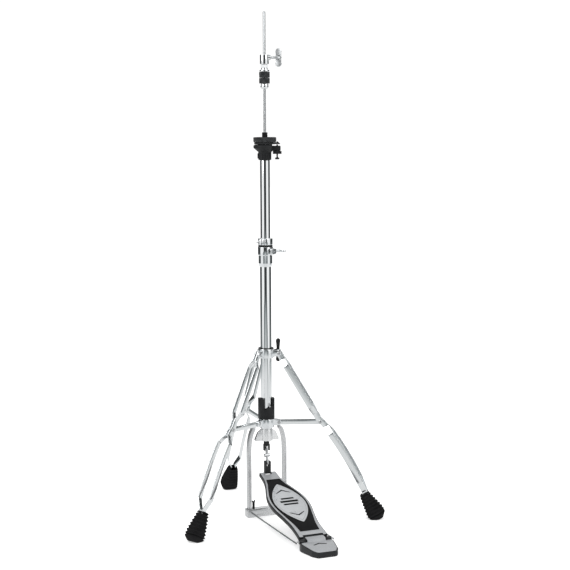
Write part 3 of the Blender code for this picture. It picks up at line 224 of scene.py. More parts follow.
RUBBER = surface(
    "rubber", (0.012, 0.012, 0.0125), (0.005, 0.005, 0.0054), (0.6, 0.85), 0.0,
    grain=500, patch=45, bump=0.5, bump_grain=1100, depth=0.12 * MM, specular=0.08,
)
FELT = surface(
    "black_felt", (0.036, 0.038, 0.039), (0.005, 0.0055, 0.006), (0.85, 1.0), 0.0,
    grain=(900, 900, 420), patch=160, bump=0.9, bump_grain=(1300, 1300, 700), depth=0.4 * MM,
    specular=0.05, sheen=0.05,
)
SILVER = surface(
    "silver_paint", (0.50, 0.51, 0.525), (0.42, 0.43, 0.445), (0.30, 0.44), 0.45,
    grain=600, patch=40, bump=0.25, bump_grain=1200, depth=0.06 * MM, speckle=0.3,
)
# The heel tongue's copy of the silver paint: rougher and less metallic, and painted darker than the heel
# plate it belongs to, as painted shade.
SILVER_PAINTED_SHADE = surface(
    "dull_silver_painted_shade", (0.42, 0.43, 0.445), (0.35, 0.36, 0.375), (0.5, 0.62), 0.25,
    grain=600, patch=40, bump=0.25, bump_grain=1200, depth=0.06 * MM, speckle=0.3,
)
SILVER_PANEL = surface(
    "bright_panel", (0.60, 0.61, 0.625), (0.52, 0.53, 0.545), (0.26, 0.38), 0.45,
    grain=(700, 120, 700), patch=30, bump=0.2, bump_grain=(1500, 150, 1500), depth=0.05 * MM, speckle=0.2,
)


# ------------------------------------------------------------- small tools

MERGE = 1e-6
STRAIGHT = math.radians(176)
FOLDED = math.radians(4)
MOST_OF_A_SIDE = 0.48
STAND_UP = Matrix.Rotation(math.pi / 2, 4, "X")
ALONG_X = Matrix.Rotation(math.pi / 2, 4, "Y")
ACROSS = Matrix.Rotation(math.pi / 2, 4, "Z") @ Matrix.Rotation(math.pi / 2, 4, "X")


def linked(name, data):
    """A new object in the scene."""
    obj = bpy.data.objects.new(name, data)
    bpy.context.scene.collection.objects.link(obj)
    return obj


def new_mesh(name, points, faces):
    mesh = bpy.data.meshes.new(name)
    mesh.from_pydata(points, [], faces)
    return linked(name, mesh)


def tidy(obj):
    form = bmesh.new()
    form.from_mesh(obj.data)
    bmesh.ops.remove_doubles(form, verts=form.verts, dist=MERGE)
    bmesh.ops.recalc_face_normals(form, faces=form.faces)
    form.to_mesh(obj.data)
    form.free()
    return obj


def baked(obj):
    """The object's modifiers or curve, applied as a plain mesh."""
    bpy.context.view_layer.update()
    graph = bpy.context.evaluated_depsgraph_get()
    mesh = bpy.data.meshes.new_from_object(obj.evaluated_get(graph))
    if obj.type == "CURVE":
        name = obj.name
        bpy.data.objects.remove(obj, do_unlink=True)
        return tidy(linked(name, mesh))
    obj.modifiers.clear()
    obj.data = mesh
    return obj


def bevelled(obj, width, segments=3, angle=40):
    made = obj.modifiers.new("edges", "BEVEL")
    made.width = width
    made.segments = segments
    made.limit_method = "ANGLE"
    made.angle_limit = math.radians(angle)
    return baked(obj)


def combined(obj, other, operation):
    made = obj.modifiers.new("boolean", "BOOLEAN")
    made.operation = operation
    made.solver = "EXACT"
    made.object = other
    obj = baked(obj)
    bpy.data.objects.remove(other, do_unlink=True)
    return obj


def cut(obj, *others):
    for other in others:
        obj = combined(obj, other, "DIFFERENCE")
    return obj


def join(obj, *others):
    for other in others:
        obj = combined(obj, other, "UNION")
    return obj


def moved(obj, matrix):
    obj.data.transform(matrix)
    return obj


def turn_z(degrees):
    return Matrix.Rotation(math.radians(degrees), 4, "Z")


def shift(x=0.0, y=0.0, z=0.0):
    return Matrix.Translation((x, y, z))


def mm(points):
    """Points given in millimetres."""
    return [(x * MM, y * MM) for x, y in points]


def mirrored(half):
    """A half outline and its mirror image about X = 0."""
    return half + [(-x, y) for x, y in half[::-1]]


def arc(centre, radius, first, last, steps):
    turns = [math.radians(first + (last - first) * i / steps) for i in range(steps + 1)]
    return [(centre[0] + radius * math.cos(a), centre[1] + radius * math.sin(a)) for a in turns]


def circle(radius, sides, centre=(0, 0)):
    return arc(centre, radius, 0, 360, sides)[:-1]


def polar(radius, angle, z):
    return radius * math.cos(angle), radius * math.sin(angle), z


def fillet(points, radius, closed=True, steps=4):
    """The outline with each corner rounded, by less where a side is short."""
    out = []
    count = len(points)
    for i, point in enumerate(points):
        here = Vector(point)
        before = Vector(points[i - 1]) - here
        after = Vector(points[(i + 1) % count]) - here
        angle = before.angle(after, math.pi)
        if not FOLDED <= angle <= STRAIGHT or (not closed and i in (0, count - 1)):
            out.append(tuple(here))
            continue
        room = min(before.length, after.length) * MOST_OF_A_SIDE
        reach = min(radius / math.tan(angle / 2), room)
        start = here + before.normalized() * reach
        end = here + after.normalized() * reach
        for k in range(steps + 1):
            t = k / steps
            out.append(tuple(start * (1 - t) ** 2 + here * 2 * t * (1 - t) + end * t**2))
    return out


def ring_faces(rings, around, closed=False, first=0):
    """The faces between rings of points that follow each other. Closed joins the last ring to the first."""
    faces = []
    for ring in range(rings if closed else rings - 1):
        here = first + ring * around
        there = first + (ring + 1) % rings * around
        for i in range(around):
            j = (i + 1) % around
            faces.append((here + i, here + j, there + j, there + i))
    return faces


def capped(name, rings, top, bottom):
    """A closed body: rings of points from the top down, with a point in the middle of each end."""
    around = len(rings[0])
    points = [top] + [point for ring in rings for point in ring] + [bottom]
    faces = [(b, a, d, c) for a, b, c, d in ring_faces(len(rings), around, first=1)]
    last = len(points) - 1
    for i in range(around):
        j = (i + 1) % around
        faces += [(0, 1 + i, 1 + j), (last, last - around + j, last - around + i)]
    return tidy(new_mesh(name, points, faces))


def lathe(name, profile, steps=96, edge=0.0):
    """Turned about Z from (radius, height) points. It starts and ends on the axis, or is a closed ring."""
    on_axis = profile[0][0] == 0
    if edge:
        profile = fillet(profile, edge, closed=not on_axis)
    points = [polar(r, 2 * math.pi * i / steps, z) for r, z in profile for i in range(steps)]
    return tidy(new_mesh(name, points, ring_faces(len(profile), steps, closed=not on_axis)))


def bar(name, radius, low, high, edge=0.0, steps=64):
    return lathe(name, [(0, high), (radius, high), (radius, low), (0, low)], steps, edge)


def tube(name, outer, inner, low, high, edge=0.0, steps=96):
    return lathe(name, [(inner, high), (outer, high), (outer, low), (inner, low)], steps, edge)


def threaded(name, radius, low, high, pitch, depth, steps=40):
    """A bar along Z with a helical thread cut into its side. The thread runs out at both ends."""
    rows_per_turn = 8
    run_out_rows = 2
    levels = max(2, int((high - low) / pitch * rows_per_turn))
    rings = []
    for level in range(levels + 1):
        z = high + (low - high) * level / levels
        fade = min(1.0, min(level, levels - level) / run_out_rows)
        ring = []
        for i in range(steps):
            phase = (z / pitch - i / steps) % 1.0
            r = radius - depth * (1 - abs(2 * phase - 1)) * fade - depth * (1 - fade)
            ring.append(polar(r, 2 * math.pi * i / steps, z))
        rings.append(ring)
    return capped(name, rings, (0, 0, high), (0, 0, low))


def plate(name, outline, thickness, edge=0.0, holes=(), segments=3, angle=55):
    """A flat plate: the outline in local X and Y, half its thickness to each side of Z = 0."""
    curve = bpy.data.curves.new(name, "CURVE")
    curve.dimensions = "2D"
    curve.fill_mode = "BOTH"
    curve.extrude = thickness / 2
    for loop in (outline, *holes):
        spline = curve.splines.new("POLY")
        spline.points.add(len(loop) - 1)
        for point, (x, y) in zip(spline.points, loop):
            point.co = (x, y, 0, 1)
        spline.use_cyclic_u = True
    obj = baked(linked(name, curve))
    flat = obj.modifiers.new("flat", "DECIMATE")
    flat.decimate_type = "DISSOLVE"
    flat.angle_limit = math.radians(0.4)
    obj = baked(obj)
    return bevelled(obj, edge, segments, angle) if edge else obj


def box(name, size, at=(0, 0, 0), edge=0.0, segments=3):
    form = bmesh.new()
    bmesh.ops.create_cube(form, size=1.0)
    bmesh.ops.scale(form, vec=Vector(size), verts=form.verts)
    bmesh.ops.translate(form, vec=Vector(at), verts=form.verts)
    mesh = bpy.data.meshes.new(name)
    form.to_mesh(mesh)
    form.free()
    obj = linked(name, mesh)
    return bevelled(obj, edge, segments) if edge else obj


def hexagon(name, across, low, high, bore=0.0):
    """A hexagon nut with turned-off corners."""
    corner = across / 2 / math.cos(math.pi / 6)
    nut = plate(name, arc((0, 0), corner, 0, 300, 5), high - low)
    moved(nut, shift(z=(low + high) / 2))
    rise = corner * 0.10
    crown, shoulder = across / 2 * 0.96, corner + rise
    profile = [(0, high), (crown, high), (shoulder, high - rise * 1.5)]
    profile += [(shoulder, low + rise * 1.5), (crown, low), (0, low)]
    nut = combined(nut, lathe("nut_chamfer", profile, 72), "INTERSECT")
    if bore:
        nut = cut(nut, bar("nut_bore", bore, low - 10 * MM, high + 10 * MM, steps=48))
    return nut


def wire(name, points, radius, sides):
    curve = bpy.data.curves.new(name, "CURVE")
    curve.dimensions = "3D"
    curve.bevel_depth = radius
    curve.bevel_resolution = sides
    curve.use_fill_caps = True
    spline = curve.splines.new("POLY")
    spline.points.add(len(points) - 1)
    for point, at in zip(spline.points, points):
        point.co = (*at, 1)
    return baked(linked(name, curve))


def drilled(obj, radius, low, high, pose, steps=40):
    """A hole along the pose's Z, from low to high."""
    return cut(obj, moved(bar("hole", radius, low, high, steps=steps), pose))


def with_boss(obj, pose, size, edge, hole):
    """A bolt's boss along the pose's Z. size is its radius and two ends, and hole is its hole's two ends."""
    obj = join(obj, moved(bar("boss", *size, edge), pose))
    return drilled(obj, 3.3 * MM, *hole, pose)


def with_ears(ring, turn, z, ears, slit, hole, segments):
    """Two ears on a ring, with a slit between them and a hole across them.

    ears is their size, distance from the shaft and rounding; slit is its size and distance; hole is its
    radius and distance.
    """
    around = turn_z(turn)
    ring = join(ring, moved(box("ears", ears[0], (ears[1], 0, z), ears[2], segments), around))
    ring = cut(ring, moved(box("slit", slit[0], (slit[1], 0, z)), around))
    return drilled(ring, hole[0], -20 * MM, 20 * MM, around @ shift(hole[1], 0, z) @ STAND_UP)


def show(obj, node, material, body=None, angle=32):
    """The finished piece: shaded, riding on its body, and standing for its CAD node if it has one."""
    obj.data.materials.clear()
    obj.data.materials.append(material)
    for face in obj.data.polygons:
        face.material_index = 0
    obj.data.shade_smooth()
    obj.data.set_sharp_from_angle(angle=math.radians(angle))
    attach(obj, body or BODY_OF[node])
    if node:
        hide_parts(node)
    return obj


# --------------------------------------------------------- rods and spring

ROD_R = wide("upper_rod")
TILT_TURN = -22.5
RAMP_TURN = TILT_TURN - 62
PIN_R = 2.0 * MM


def rods():
    low, high = span("upper_rod")
    profile = [(0, high)] + arc((0, high - ROD_R), ROD_R, 90, 0, 10)[1:] + [(ROD_R, low), (0, low)]
    show(lathe("pull_rod_top", profile, 48), "upper_rod", ROD_STEEL)
    show(bar("pull_rod_bottom", ROD_R, *span("lower_rod"), 0.4 * MM, 48), "lower_rod", STEEL)
    nut = hexagon("rod_joiner", 11.2 * MM, *span("rod_coupler"), ROD_R + 0.1 * MM)
    show(nut, "rod_coupler", STEEL)

    low, high = span("spring_cap")
    bore, neck, rim = ROD_R + 0.2 * MM, 5.5 * MM, 10.6 * MM
    step = high - 6 * MM
    cap = [(bore, high), (neck, high), (neck, step), (rim, step), (rim, low), (bore, low)]
    show(lathe("spring_collar", cap, 72, 0.6 * MM), "spring_cap", STEEL)

    low, high = span("spring")
    wire_r, coil_r = 1.1 * MM, 8.4 * MM
    turns = 7
    steps = turns * 28
    coil = []
    for i in range(steps + 1):
        z = low + wire_r + (high - low - 2 * wire_r) * i / steps
        coil.append(polar(coil_r, 2 * math.pi * turns * i / steps, z))
    show(wire("coil_spring", coil, wire_r, 4), "spring", STEEL, angle=60)


def tension():
    low, high = span("spring_seat")
    bore = ROD_R + 0.3 * MM
    seat = tube("spring_pin_seat", 11.2 * MM, bore, low, high, 0.5 * MM, 72)
    pin = moved(bar("pin", PIN_R, -18.2 * MM, 18.2 * MM, 0.5 * MM, 40), ALONG_X)
    seat = join(seat, moved(pin, shift(z=low + PIN_R) @ turn_z(RAMP_TURN)))
    seat = cut(seat, bar("bore", bore, low - 20 * MM, high + 20 * MM, steps=48))
    show(seat, "spring_seat", STEEL)
    show(ramp_sleeve(), "tension_sleeve", PLASTIC, angle=45)


def ramp_sleeve():
    """The sleeve whose top edge has two prongs, with a ramp on each side between them."""
    low, high = span("tension_sleeve")
    outer, inner = 19.0 * MM, wide("lower_tube") + 0.25 * MM
    edge = 0.7 * MM
    ramp_low, ramp_rise = 250 * MM, 10 * MM
    reach = math.radians(84)
    prong_run = 0.05
    first = math.radians(RAMP_TURN)
    columns = 360

    def top_at(angle):
        turn = (angle - first) % math.pi
        turn = turn if turn < math.pi / 2 else turn - math.pi
        inside = reach / 2 - abs(turn)
        if inside <= 0:
            return high
        ramp = ramp_low + ramp_rise * (turn + reach / 2) / reach
        return ramp + (high - ramp) * (1 - min(inside / prong_run, 1.0)) ** 3

    points = []
    for i in range(columns):
        angle = 2 * math.pi * i / columns
        top = top_at(angle)
        column = [
            (inner, low), (outer - edge, low), (outer, low + edge), (outer, top - edge),
            (outer - edge * 0.3, top - edge * 0.3), (outer - edge, top),
            (inner + edge * 0.5, top), (inner, top - edge * 0.5),
        ]
        points += [polar(r, angle, z) for r, z in column]
    return tidy(new_mesh("ramp_sleeve", points, ring_faces(columns, len(column), closed=True)))


# ------------------------------------------------------------------- tubes

TUBE_WALL = 1.2 * MM
EARS_Z = 612.5 * MM
CLAMP_EARS_TURN = -67.5
LOCK_EARS_TURN = -132.5


def wing(name, reach, size, upright, joint, slim=0.5, twist=0.0):
    """A wing bolt, pointing out along its joint's axis: two rounded wings, a tapered hub and a threaded stem.

    size is the wings' span, width and thickness; slim is the waist's share of the width, and twist turns the
    wings a little out of their plane, one each way.
    """
    spread, across, thick = size
    lobe = across / 2
    arm = spread / 2 - lobe
    waist = lobe * slim
    edge = thick * 0.36
    if twist:
        wings = plate(name, circle(lobe * 0.98, 48), thick, edge, segments=4)
        half = arc((0, arm), lobe, -20, 200, 24) + [(-waist, lobe * 0.3), (waist, lobe * 0.3)]
        for way in (1, -1):
            other = plate("half", fillet([(x, y * way) for x, y in half], 2 * MM), thick, edge, segments=4)
            wings = join(wings, moved(other, Matrix.Rotation(way * twist, 4, "Y")))
    else:
        outline = arc((0, arm), lobe, -35, 215, 24) + [(-waist, 0)]
        outline += arc((0, -arm), lobe, 145, 395, 24) + [(waist, 0)]
        wings = plate(name, fillet(outline, 3 * MM, steps=3), thick, edge, segments=5)
    if upright:
        moved(wings, STAND_UP)
    moved(wings, shift(x=reach + lobe * 0.7))
    neck = lobe * (0.5 if twist else 0.62)
    hub = [(0, reach + lobe * 1.25), (neck * 0.75, reach + lobe * 1.2), (neck * 1.15, reach + lobe * 0.5)]
    hub += [(neck * 0.78, reach - 4.5 * MM), (neck * 0.95, reach - 6.5 * MM), (0, reach - 6.5 * MM)]
    hub = moved(lathe("hub", hub, 64, 1.0 * MM), ALONG_X)
    stem = moved(threaded("stem", 3.0 * MM, 0, reach - 5 * MM, 1.25 * MM, 0.45 * MM), ALONG_X)
    return moved(join(wings, hub, stem), shift(*anchor(joint)) @ turn_z(heading(joint)))


def tubes():
    for name, node in (("inner_tube", "upper_tube"), ("outer_tube", "lower_tube")):
        outer = wide(node)
        made = tube(name, outer, outer - TUBE_WALL, *span(node), 0.5 * MM, 128)
        if node == "lower_tube":
            size, z = (60 * MM, 5.2 * MM, 16 * MM), span("spring_seat")[0] + PIN_R
            made = cut(made, moved(box("window", size, (0, 0, z), 2.5 * MM, 5), turn_z(RAMP_TURN)))
        show(made, node, CHROME)


def height_clamp():
    low, top = span("tube_clamp")
    bush_low, bush_top = span("clamp_bushing")
    inner = wide("upper_tube") + 0.25 * MM
    rim, wall = 16.4 * MM, 14.4 * MM
    step = top + 0.3 * MM
    bush = [(inner, bush_top), (rim, bush_top), (rim, step)]
    bush += [(wall, step), (wall, bush_low), (inner, bush_low)]
    bush = lathe("plastic_bushing", bush, 96, 0.5 * MM)
    slit = moved(box("slit", (10 * MM, 2 * MM, 60 * MM), (15 * MM, 0, 610 * MM)), turn_z(CLAMP_EARS_TURN))
    show(cut(bush, slit), "clamp_bushing", PLASTIC)

    bore, socket = wide("lower_tube") + 0.25 * MM, 14.65 * MM
    collar, skirt = 17.2 * MM, 15.8 * MM
    seat_z = 600.3 * MM
    body = [(socket, top), (collar, top), (collar, 604.5 * MM), (skirt, 603 * MM), (skirt, 585 * MM)]
    body += [(13.8 * MM, low), (bore, low), (bore, seat_z), (socket, seat_z)]
    clamp = with_ears(
        lathe("height_clamp", body, 128, 0.8 * MM), CLAMP_EARS_TURN, EARS_Z,
        ((12 * MM, 17 * MM, 14 * MM), 21.4 * MM, 2.6 * MM),
        ((20 * MM, 2.4 * MM, 60 * MM), 23.5 * MM), (3.3 * MM, 22.5 * MM), 5,
    )
    show(clamp, "tube_clamp", CHROME_CAST)
    bolt = wing("height_bolt", 28 * MM, (33 * MM, 11 * MM, 4.5 * MM), False, "clamp_bolt_turn")
    show(bolt, "clamp_wing_bolt", CHROME_CAST)


def memory_lock():
    low, high = span("memory_lock")
    ring = tube("stop_ring", 16.6 * MM, wide("upper_tube") + 0.25 * MM, low, high, 1.6 * MM, 128)
    lock = with_ears(
        ring, LOCK_EARS_TURN, (low + high) / 2,
        ((11 * MM, 13 * MM, 13 * MM), 18.5 * MM, 2.0 * MM),
        ((16 * MM, 2 * MM, 40 * MM), 19 * MM), (2.8 * MM, 20.3 * MM), 4,
    )
    show(lock, "memory_lock", CHROME_CAST)

    joint = "memory_screw_turn"
    shank = threaded("key_screw", 2.5 * MM, -9 * MM, 7.2 * MM, 0.8 * MM, 0.3 * MM)
    flange = bar("flange", 4.6 * MM, 6.8 * MM, 8.6 * MM, 0.5 * MM)
    square = box("square", (4.8 * MM, 4.8 * MM, 6 * MM), (0, 0, 10 * MM), 0.6 * MM, 3)
    screw = moved(join(shank, flange, square), ALONG_X)
    show(moved(screw, shift(*anchor(joint)) @ turn_z(heading(joint))), "memory_lock_screw", STEEL)


# ----------------------------------------------------------- seat and clutch


def fuzzy(obj, amount, scale):
    """A felt's surface: every point moved a little along its normal by smooth noise."""
    mesh = obj.data
    normals = [vert.normal.copy() for vert in mesh.vertices]
    for vert, normal in zip(mesh.vertices, normals):
        swell = noise.noise(vert.co * scale) * 0.6 + noise.noise(vert.co * scale * 2.7) * 0.4
        vert.co += normal * (amount * (swell - 0.6))
    return obj


def felt_ring(name, node, outer, inner, edge, steps, amount, scale):
    """A felt washer, with enough rows for its side and its faces to be shaped."""
    low, high = span(node)
    row = 1.1 * MM
    rounded = fillet([(inner, high), (outer, high), (outer, low), (inner, low)], edge, steps=5)
    profile = []
    for start, end in zip(rounded, rounded[1:] + rounded[:1]):
        pieces = max(1, round(math.dist(start, end) / row))
        profile += [
            (start[0] + (end[0] - start[0]) * k / pieces, start[1] + (end[1] - start[1]) * k / pieces)
            for k in range(pieces)
        ]
    pad = show(fuzzy(lathe(name, profile, steps), amount, scale), node, FELT, angle=80)


SEAT_R = 26 * MM
TILT_R = 27.6 * MM


def seat_base():
    low, top = span("seat_base")
    bore = ROD_R + 0.6 * MM
    spigot = wide("upper_tube") - 1.5 * MM
    shoulder = span("upper_tube")[1] + 0.5 * MM
    flange, neck = 25.5 * MM, 14.6 * MM
    body = [(bore, top), (23 * MM, top), (flange, top - 2.2 * MM), (flange, 844 * MM)]
    body += [(neck + 0.6 * MM, 835.2 * MM), (neck, 833 * MM), (neck - 0.2 * MM, shoulder)]
    body += [(spigot, shoulder), (spigot, low), (bore, low)]
    base = lathe("seat_body", body, 128, 1.4 * MM)
    trim = box("trim", (40 * MM, 80 * MM, 40 * MM), (36.5 * MM, 0, 860 * MM), 2 * MM)
    arm = box("arm", (24 * MM, 14 * MM, 11.6 * MM), (23.3 * MM, 0, 843 * MM), 2.0 * MM, 4)
    base = join(cut(base, moved(trim, turn_z(TILT_TURN))), moved(arm, turn_z(TILT_TURN)))
    base = drilled(base, 2.2 * MM, 0.8, 0.9, turn_z(TILT_TURN) @ shift(x=TILT_R), 32)
    for turn in (65, 125, 185, 245, 305):
        rib = box("rib", (4 * MM, 3 * MM, 12 * MM), (neck, 0, 826.2 * MM), 1.2 * MM)
        base = join(base, moved(rib, turn_z(TILT_TURN + turn)))
    show(base, "seat_base", PLASTIC, angle=40)


def seat_cup():
    low = span("seat_cup")[0]
    floor = low + 4.6 * MM
    hole_r = 5.8 * MM
    cup = [(hole_r, floor), (SEAT_R - 1.2 * MM, floor), (SEAT_R - 3 * MM, low), (hole_r, low)]
    cup = lathe("tilting_cup", cup, 128, 0.8 * MM)
    wedge = mm([(10, 0.3), (34.5, 0.3), (34.3, 1.3), (28.3, 6.5), (26.4, 6.5), (26.4, 4.4), (10, 4.4)])
    wedge = plate("wedge", fillet(wedge, 0.6 * MM), 12 * MM, 0.7 * MM)
    wedge = moved(wedge, turn_z(TILT_TURN) @ shift(z=low) @ STAND_UP)
    show(join(cup, wedge), "seat_cup", PLASTIC, angle=40)
    felt_ring("seat_pad", "seat_felt", SEAT_R - 0.1 * MM, 6.8 * MM, 1.8 * MM, 144, 0.45 * MM, 420)

    low, high = span("seat_guide")
    inner, outer, groove = 4.4 * MM, 6.2 * MM, 5.7 * MM
    guide = [(inner, high), (outer, high), (outer, high - 4 * MM), (groove, high - 4.8 * MM)]
    guide += [(outer, high - 5.6 * MM), (outer, low), (inner, low)]
    show(lathe("rubber_guide", guide, 64, 0.6 * MM), "seat_guide", RUBBER)


def tilt_screw():
    where = turn_z(TILT_TURN) @ shift(x=TILT_R)
    low, high = span("tilt_screw")
    shank_r, head_r = 1.9 * MM, 4.7 * MM
    screw = threaded("tilt_bolt", shank_r, low + 3 * MM, high, 0.8 * MM, 0.28 * MM)
    head = [(0, low + 4.6 * MM), (shank_r, low + 4.5 * MM), (head_r, low + 3.9 * MM)]
    head += [(head_r, low + 0.5 * MM), (4 * MM, low), (0, low)]
    knob = lathe("knob", head, 64, 0.8 * MM)
    show(moved(join(screw, knob), where), "tilt_screw", BLACK_METAL)

    low, high = span("tilt_lock_nut")
    knurls, steps = 36, 144
    outline = []
    for i in range(steps):
        a = 2 * math.pi * i / steps
        outline.append(polar(9.45 * MM + 0.35 * MM * math.cos(knurls * a), a, 0)[:2])
    wheel = plate("tilt_wheel", outline, high - low, 0.5 * MM, [circle(2.2 * MM, 40)], 2, 60)
    show(moved(wheel, where @ shift(z=(low + high) / 2)), "tilt_lock_nut", PLASTIC, angle=50)


def clutch():
    bore = ROD_R + 0.25 * MM
    low, top = span("clutch_body")
    sleeve_r, outer = 5.6 * MM, 10.0 * MM
    block_low, sleeve_low, boss_z = 1.029, 0.9860, 1.0435
    body = [(bore, top), (outer, top), (outer, block_low), (sleeve_r, block_low)]
    body += [(sleeve_r, sleeve_low), (bore, sleeve_low)]
    made = lathe("clutch_barrel", body, 128, 1.0 * MM)
    made = join(made, threaded("sleeve", sleeve_r, low, 0.9900, 1.25 * MM, 0.4 * MM, 56))
    made = cut(made, bar("bore", bore, low - 10 * MM, 1.0, steps=48))
    set_in = shift(z=boss_z) @ turn_z(TILT_TURN) @ ALONG_X
    made = with_boss(made, set_in, (6.2 * MM, 4.5 * MM, 14 * MM), 0.8 * MM, (1 * MM, 30 * MM))
    show(made, "clutch_body", CHROME)

    inner = sleeve_r + 0.25 * MM
    low, high = span("clutch_top_washer")
    rim = 11 * MM
    washer = [(inner, high), (7.2 * MM, high), (7.4 * MM, low + 3.8 * MM), (rim, low + 3.2 * MM)]
    washer += [(rim, low), (inner, low)]
    show(lathe("cupped_washer", washer, 128, 0.7 * MM), "clutch_top_washer", CHROME)
    nut = hexagon("upper_nut", 15.6 * MM, *span("clutch_lock_nut"), inner)
    show(nut, "clutch_lock_nut", CHROME)
    for end, node in (("top", "clutch_upper_felt"), ("bottom", "clutch_lower_felt")):
        felt_ring(f"cymbal_felt_{end}", node, 12.0 * MM, inner + 0.1 * MM, 1.6 * MM, 112, 0.3 * MM, 600)
    low, high = span("clutch_lower_nut")
    nut = [(inner, high), (9 * MM, high), (9 * MM, low + 3.6 * MM), (7.2 * MM, low), (inner, low)]
    nut = lathe("lower_nut", nut, 128, 0.7 * MM)
    for turn in range(0, 360, 60):
        notch = box("notch", (3 * MM, 2.2 * MM, 12 * MM), (10 * MM, 0, high + 1 * MM), 0.6 * MM)
        nut = cut(nut, moved(notch, turn_z(turn)))
    show(nut, "clutch_lower_nut", CHROME)

    wings = (41 * MM, 14 * MM, 3.4 * MM)
    bolt = wing("clutch_bolt", 22.5 * MM, wings, True, "clutch_bolt_turn", 0.85, math.radians(13))
    show(bolt, "clutch_wing_bolt", CHROME_SATIN)


# -------------------------------------------------------------------- legs

LEG_NAMES = ("right", "back", "left")
LEG_TILT = math.radians(31)
LEG_PATH = (
    (-7, 3.2), (16, 3.2), (33, 11), (142, 11), (160, 3.2),
    (198, 3.2), (217, 16), (348, 16), (371, 5), (398, 5),
)
STRIP_PIECE = 5 * MM
BOW_FROM = 180 * MM
BOW_LONG = 205 * MM
BOW_OUT = 11 * MM
BRACE_WIDTH = 14 * MM
BRACE_THICK = 2.6 * MM
NEAR = 3.2 * MM
KNEE_DOWN = 182.6 * MM
RIVET_SHAFT_R = 2.2 * MM
COLLAR_R = 17.5 * MM
BOOT_TOP = -375 * MM
BOOT_BOTTOM = -443 * MM
# Each side of a boot in millimetres from the leg's middle, by its share of the way down.
BOOT_FRONT = ((0.0, 11), (0.10, 13.5), (0.45, 19), (0.72, 22.5), (0.88, 20.5), (1.0, 12))
BOOT_BACK = ((0.0, -9.5), (0.10, -12.5), (0.30, -15.5), (0.75, -20.5), (0.9, -16.5), (1.0, -8))
BOOT_SIDE = ((0.0, 11.5), (0.10, 13), (0.4, 16.5), (0.7, 19.0), (0.85, 19.4), (0.95, 15.5), (1.0, 12))
BOOT_SQUARE = 3.2


def across_of(at):
    """Distance from the shaft's axis."""
    return math.hypot(at.x, at.y)


def outward(joint):
    """A turn about Z that takes X to the side on which a joint lies."""
    at = anchor(joint)
    return Matrix.Rotation(math.atan2(at.y, at.x), 4, "Z")


def hinge_frame(joint, lean):
    return shift(*anchor(joint)) @ outward(joint) @ Matrix.Rotation(-lean, 4, "Y")


def lugs(root, pivot, reach, half_high, inner_half):
    """Two cheeks on each side of a leg's or strut's end, drawn along X."""
    shape = [(root, half_high)] + arc((across_of(pivot), 0), reach, 75, -75, 20) + [(root, -half_high)]
    cheeks = plate("lug", shape, 2 * (inner_half + BRACE_THICK), 0.8 * MM)
    moved(cheeks, shift(z=pivot.z) @ STAND_UP)
    return cut(cheeks, box("gap", (60 * MM, 2 * inner_half, 60 * MM), (48.5 * MM, 0, pivot.z)))


def rivet(name, matrix, half, head_r, head_high, body):
    """A rivet across a hinge: a shaft with a low dome at each end, along local Y."""
    turns = [math.radians(degrees) for degrees in range(15, 91, 15)]
    dome = [(head_r * math.sin(a), head_high * math.cos(a)) for a in turns]
    end = half - 0.05 * MM
    profile = [(0, half + head_high)] + [(r, half + z) for r, z in dome] + [(RIVET_SHAFT_R, end)]
    profile += [(RIVET_SHAFT_R, -end)] + [(r, -half - z) for r, z in dome[::-1]] + [(0, -half - head_high)]
    show(moved(lathe(name, profile, 48), matrix @ STAND_UP), None, STEEL, body, 40)


def collar_and_bracket():
    low, high = span("leg_collar")
    bore = wide("lower_tube") + 0.3 * MM
    collar = tube("sliding_collar", COLLAR_R, bore + 1.5 * MM, low, high, 1.2 * MM, 128)
    half = NEAR + BRACE_THICK / 2 + 0.3 * MM
    pivot = anchor("leg_right_fold")
    for name in LEG_NAMES:
        lug = lugs(15.6 * MM, pivot, 5.6 * MM, 9 * MM, half)
        collar = join(collar, moved(lug, outward(f"leg_{name}_fold")))
    joint = "collar_bolt_turn"
    set_in = shift(z=anchor(joint).z) @ turn_z(heading(joint)) @ ALONG_X
    collar = with_boss(collar, set_in, (6.5 * MM, 15.2 * MM, 24 * MM), 1.0 * MM, (5 * MM, 40 * MM))
    show(collar, "leg_collar", CHROME_CAST)

    low, high = span("collar_bushing")
    rim, wall = high - 1.4 * MM, bore + 1.2 * MM
    bush = [(bore, high), (COLLAR_R, high), (COLLAR_R, rim), (wall, rim), (wall, low), (bore, low)]
    bush = lathe("collar_liner", bush, 128, 0.4 * MM)
    show(drilled(bush, 3.6 * MM, 5 * MM, 40 * MM, set_in), "collar_bushing", PLASTIC)
    show(wing("collar_bolt", 27 * MM, (54 * MM, 13 * MM, 5 * MM), True, joint), "collar_wing_bolt", PLASTIC)

    bracket = tube("strut_bracket", COLLAR_R, bore, *span("lower_bracket"), 1.2 * MM, 128)
    pivot = anchor("strut_right_swing")
    for name in LEG_NAMES:
        lug = lugs(14.2 * MM, pivot, 7 * MM, 8.0 * MM, 1.8 * MM)
        bracket = join(bracket, moved(lug, outward(f"strut_{name}_swing")))
    show(bracket, "lower_bracket", CHROME_CAST)


def band(path, thick):
    """The two sides of a strip of this thickness that follows a path of (across, along) points."""
    left, right = [], []
    for i, point in enumerate(path):
        before = Vector(path[max(i - 1, 0)])
        after = Vector(path[min(i + 1, len(path) - 1)])
        side = (after - before).normalized()
        side = Vector((-side.y, side.x)) * thick / 2
        left.append(tuple(Vector(point) + side))
        right.append(tuple(Vector(point) - side))
    return left, right


def bow_out(down):
    """How far the lower half of a leg bows outwards, at this distance below its hinge."""
    along = (down - BOW_FROM) / BOW_LONG
    return BOW_OUT * math.sqrt(math.sin(math.pi * along)) if 0 < along < 1 else 0.0


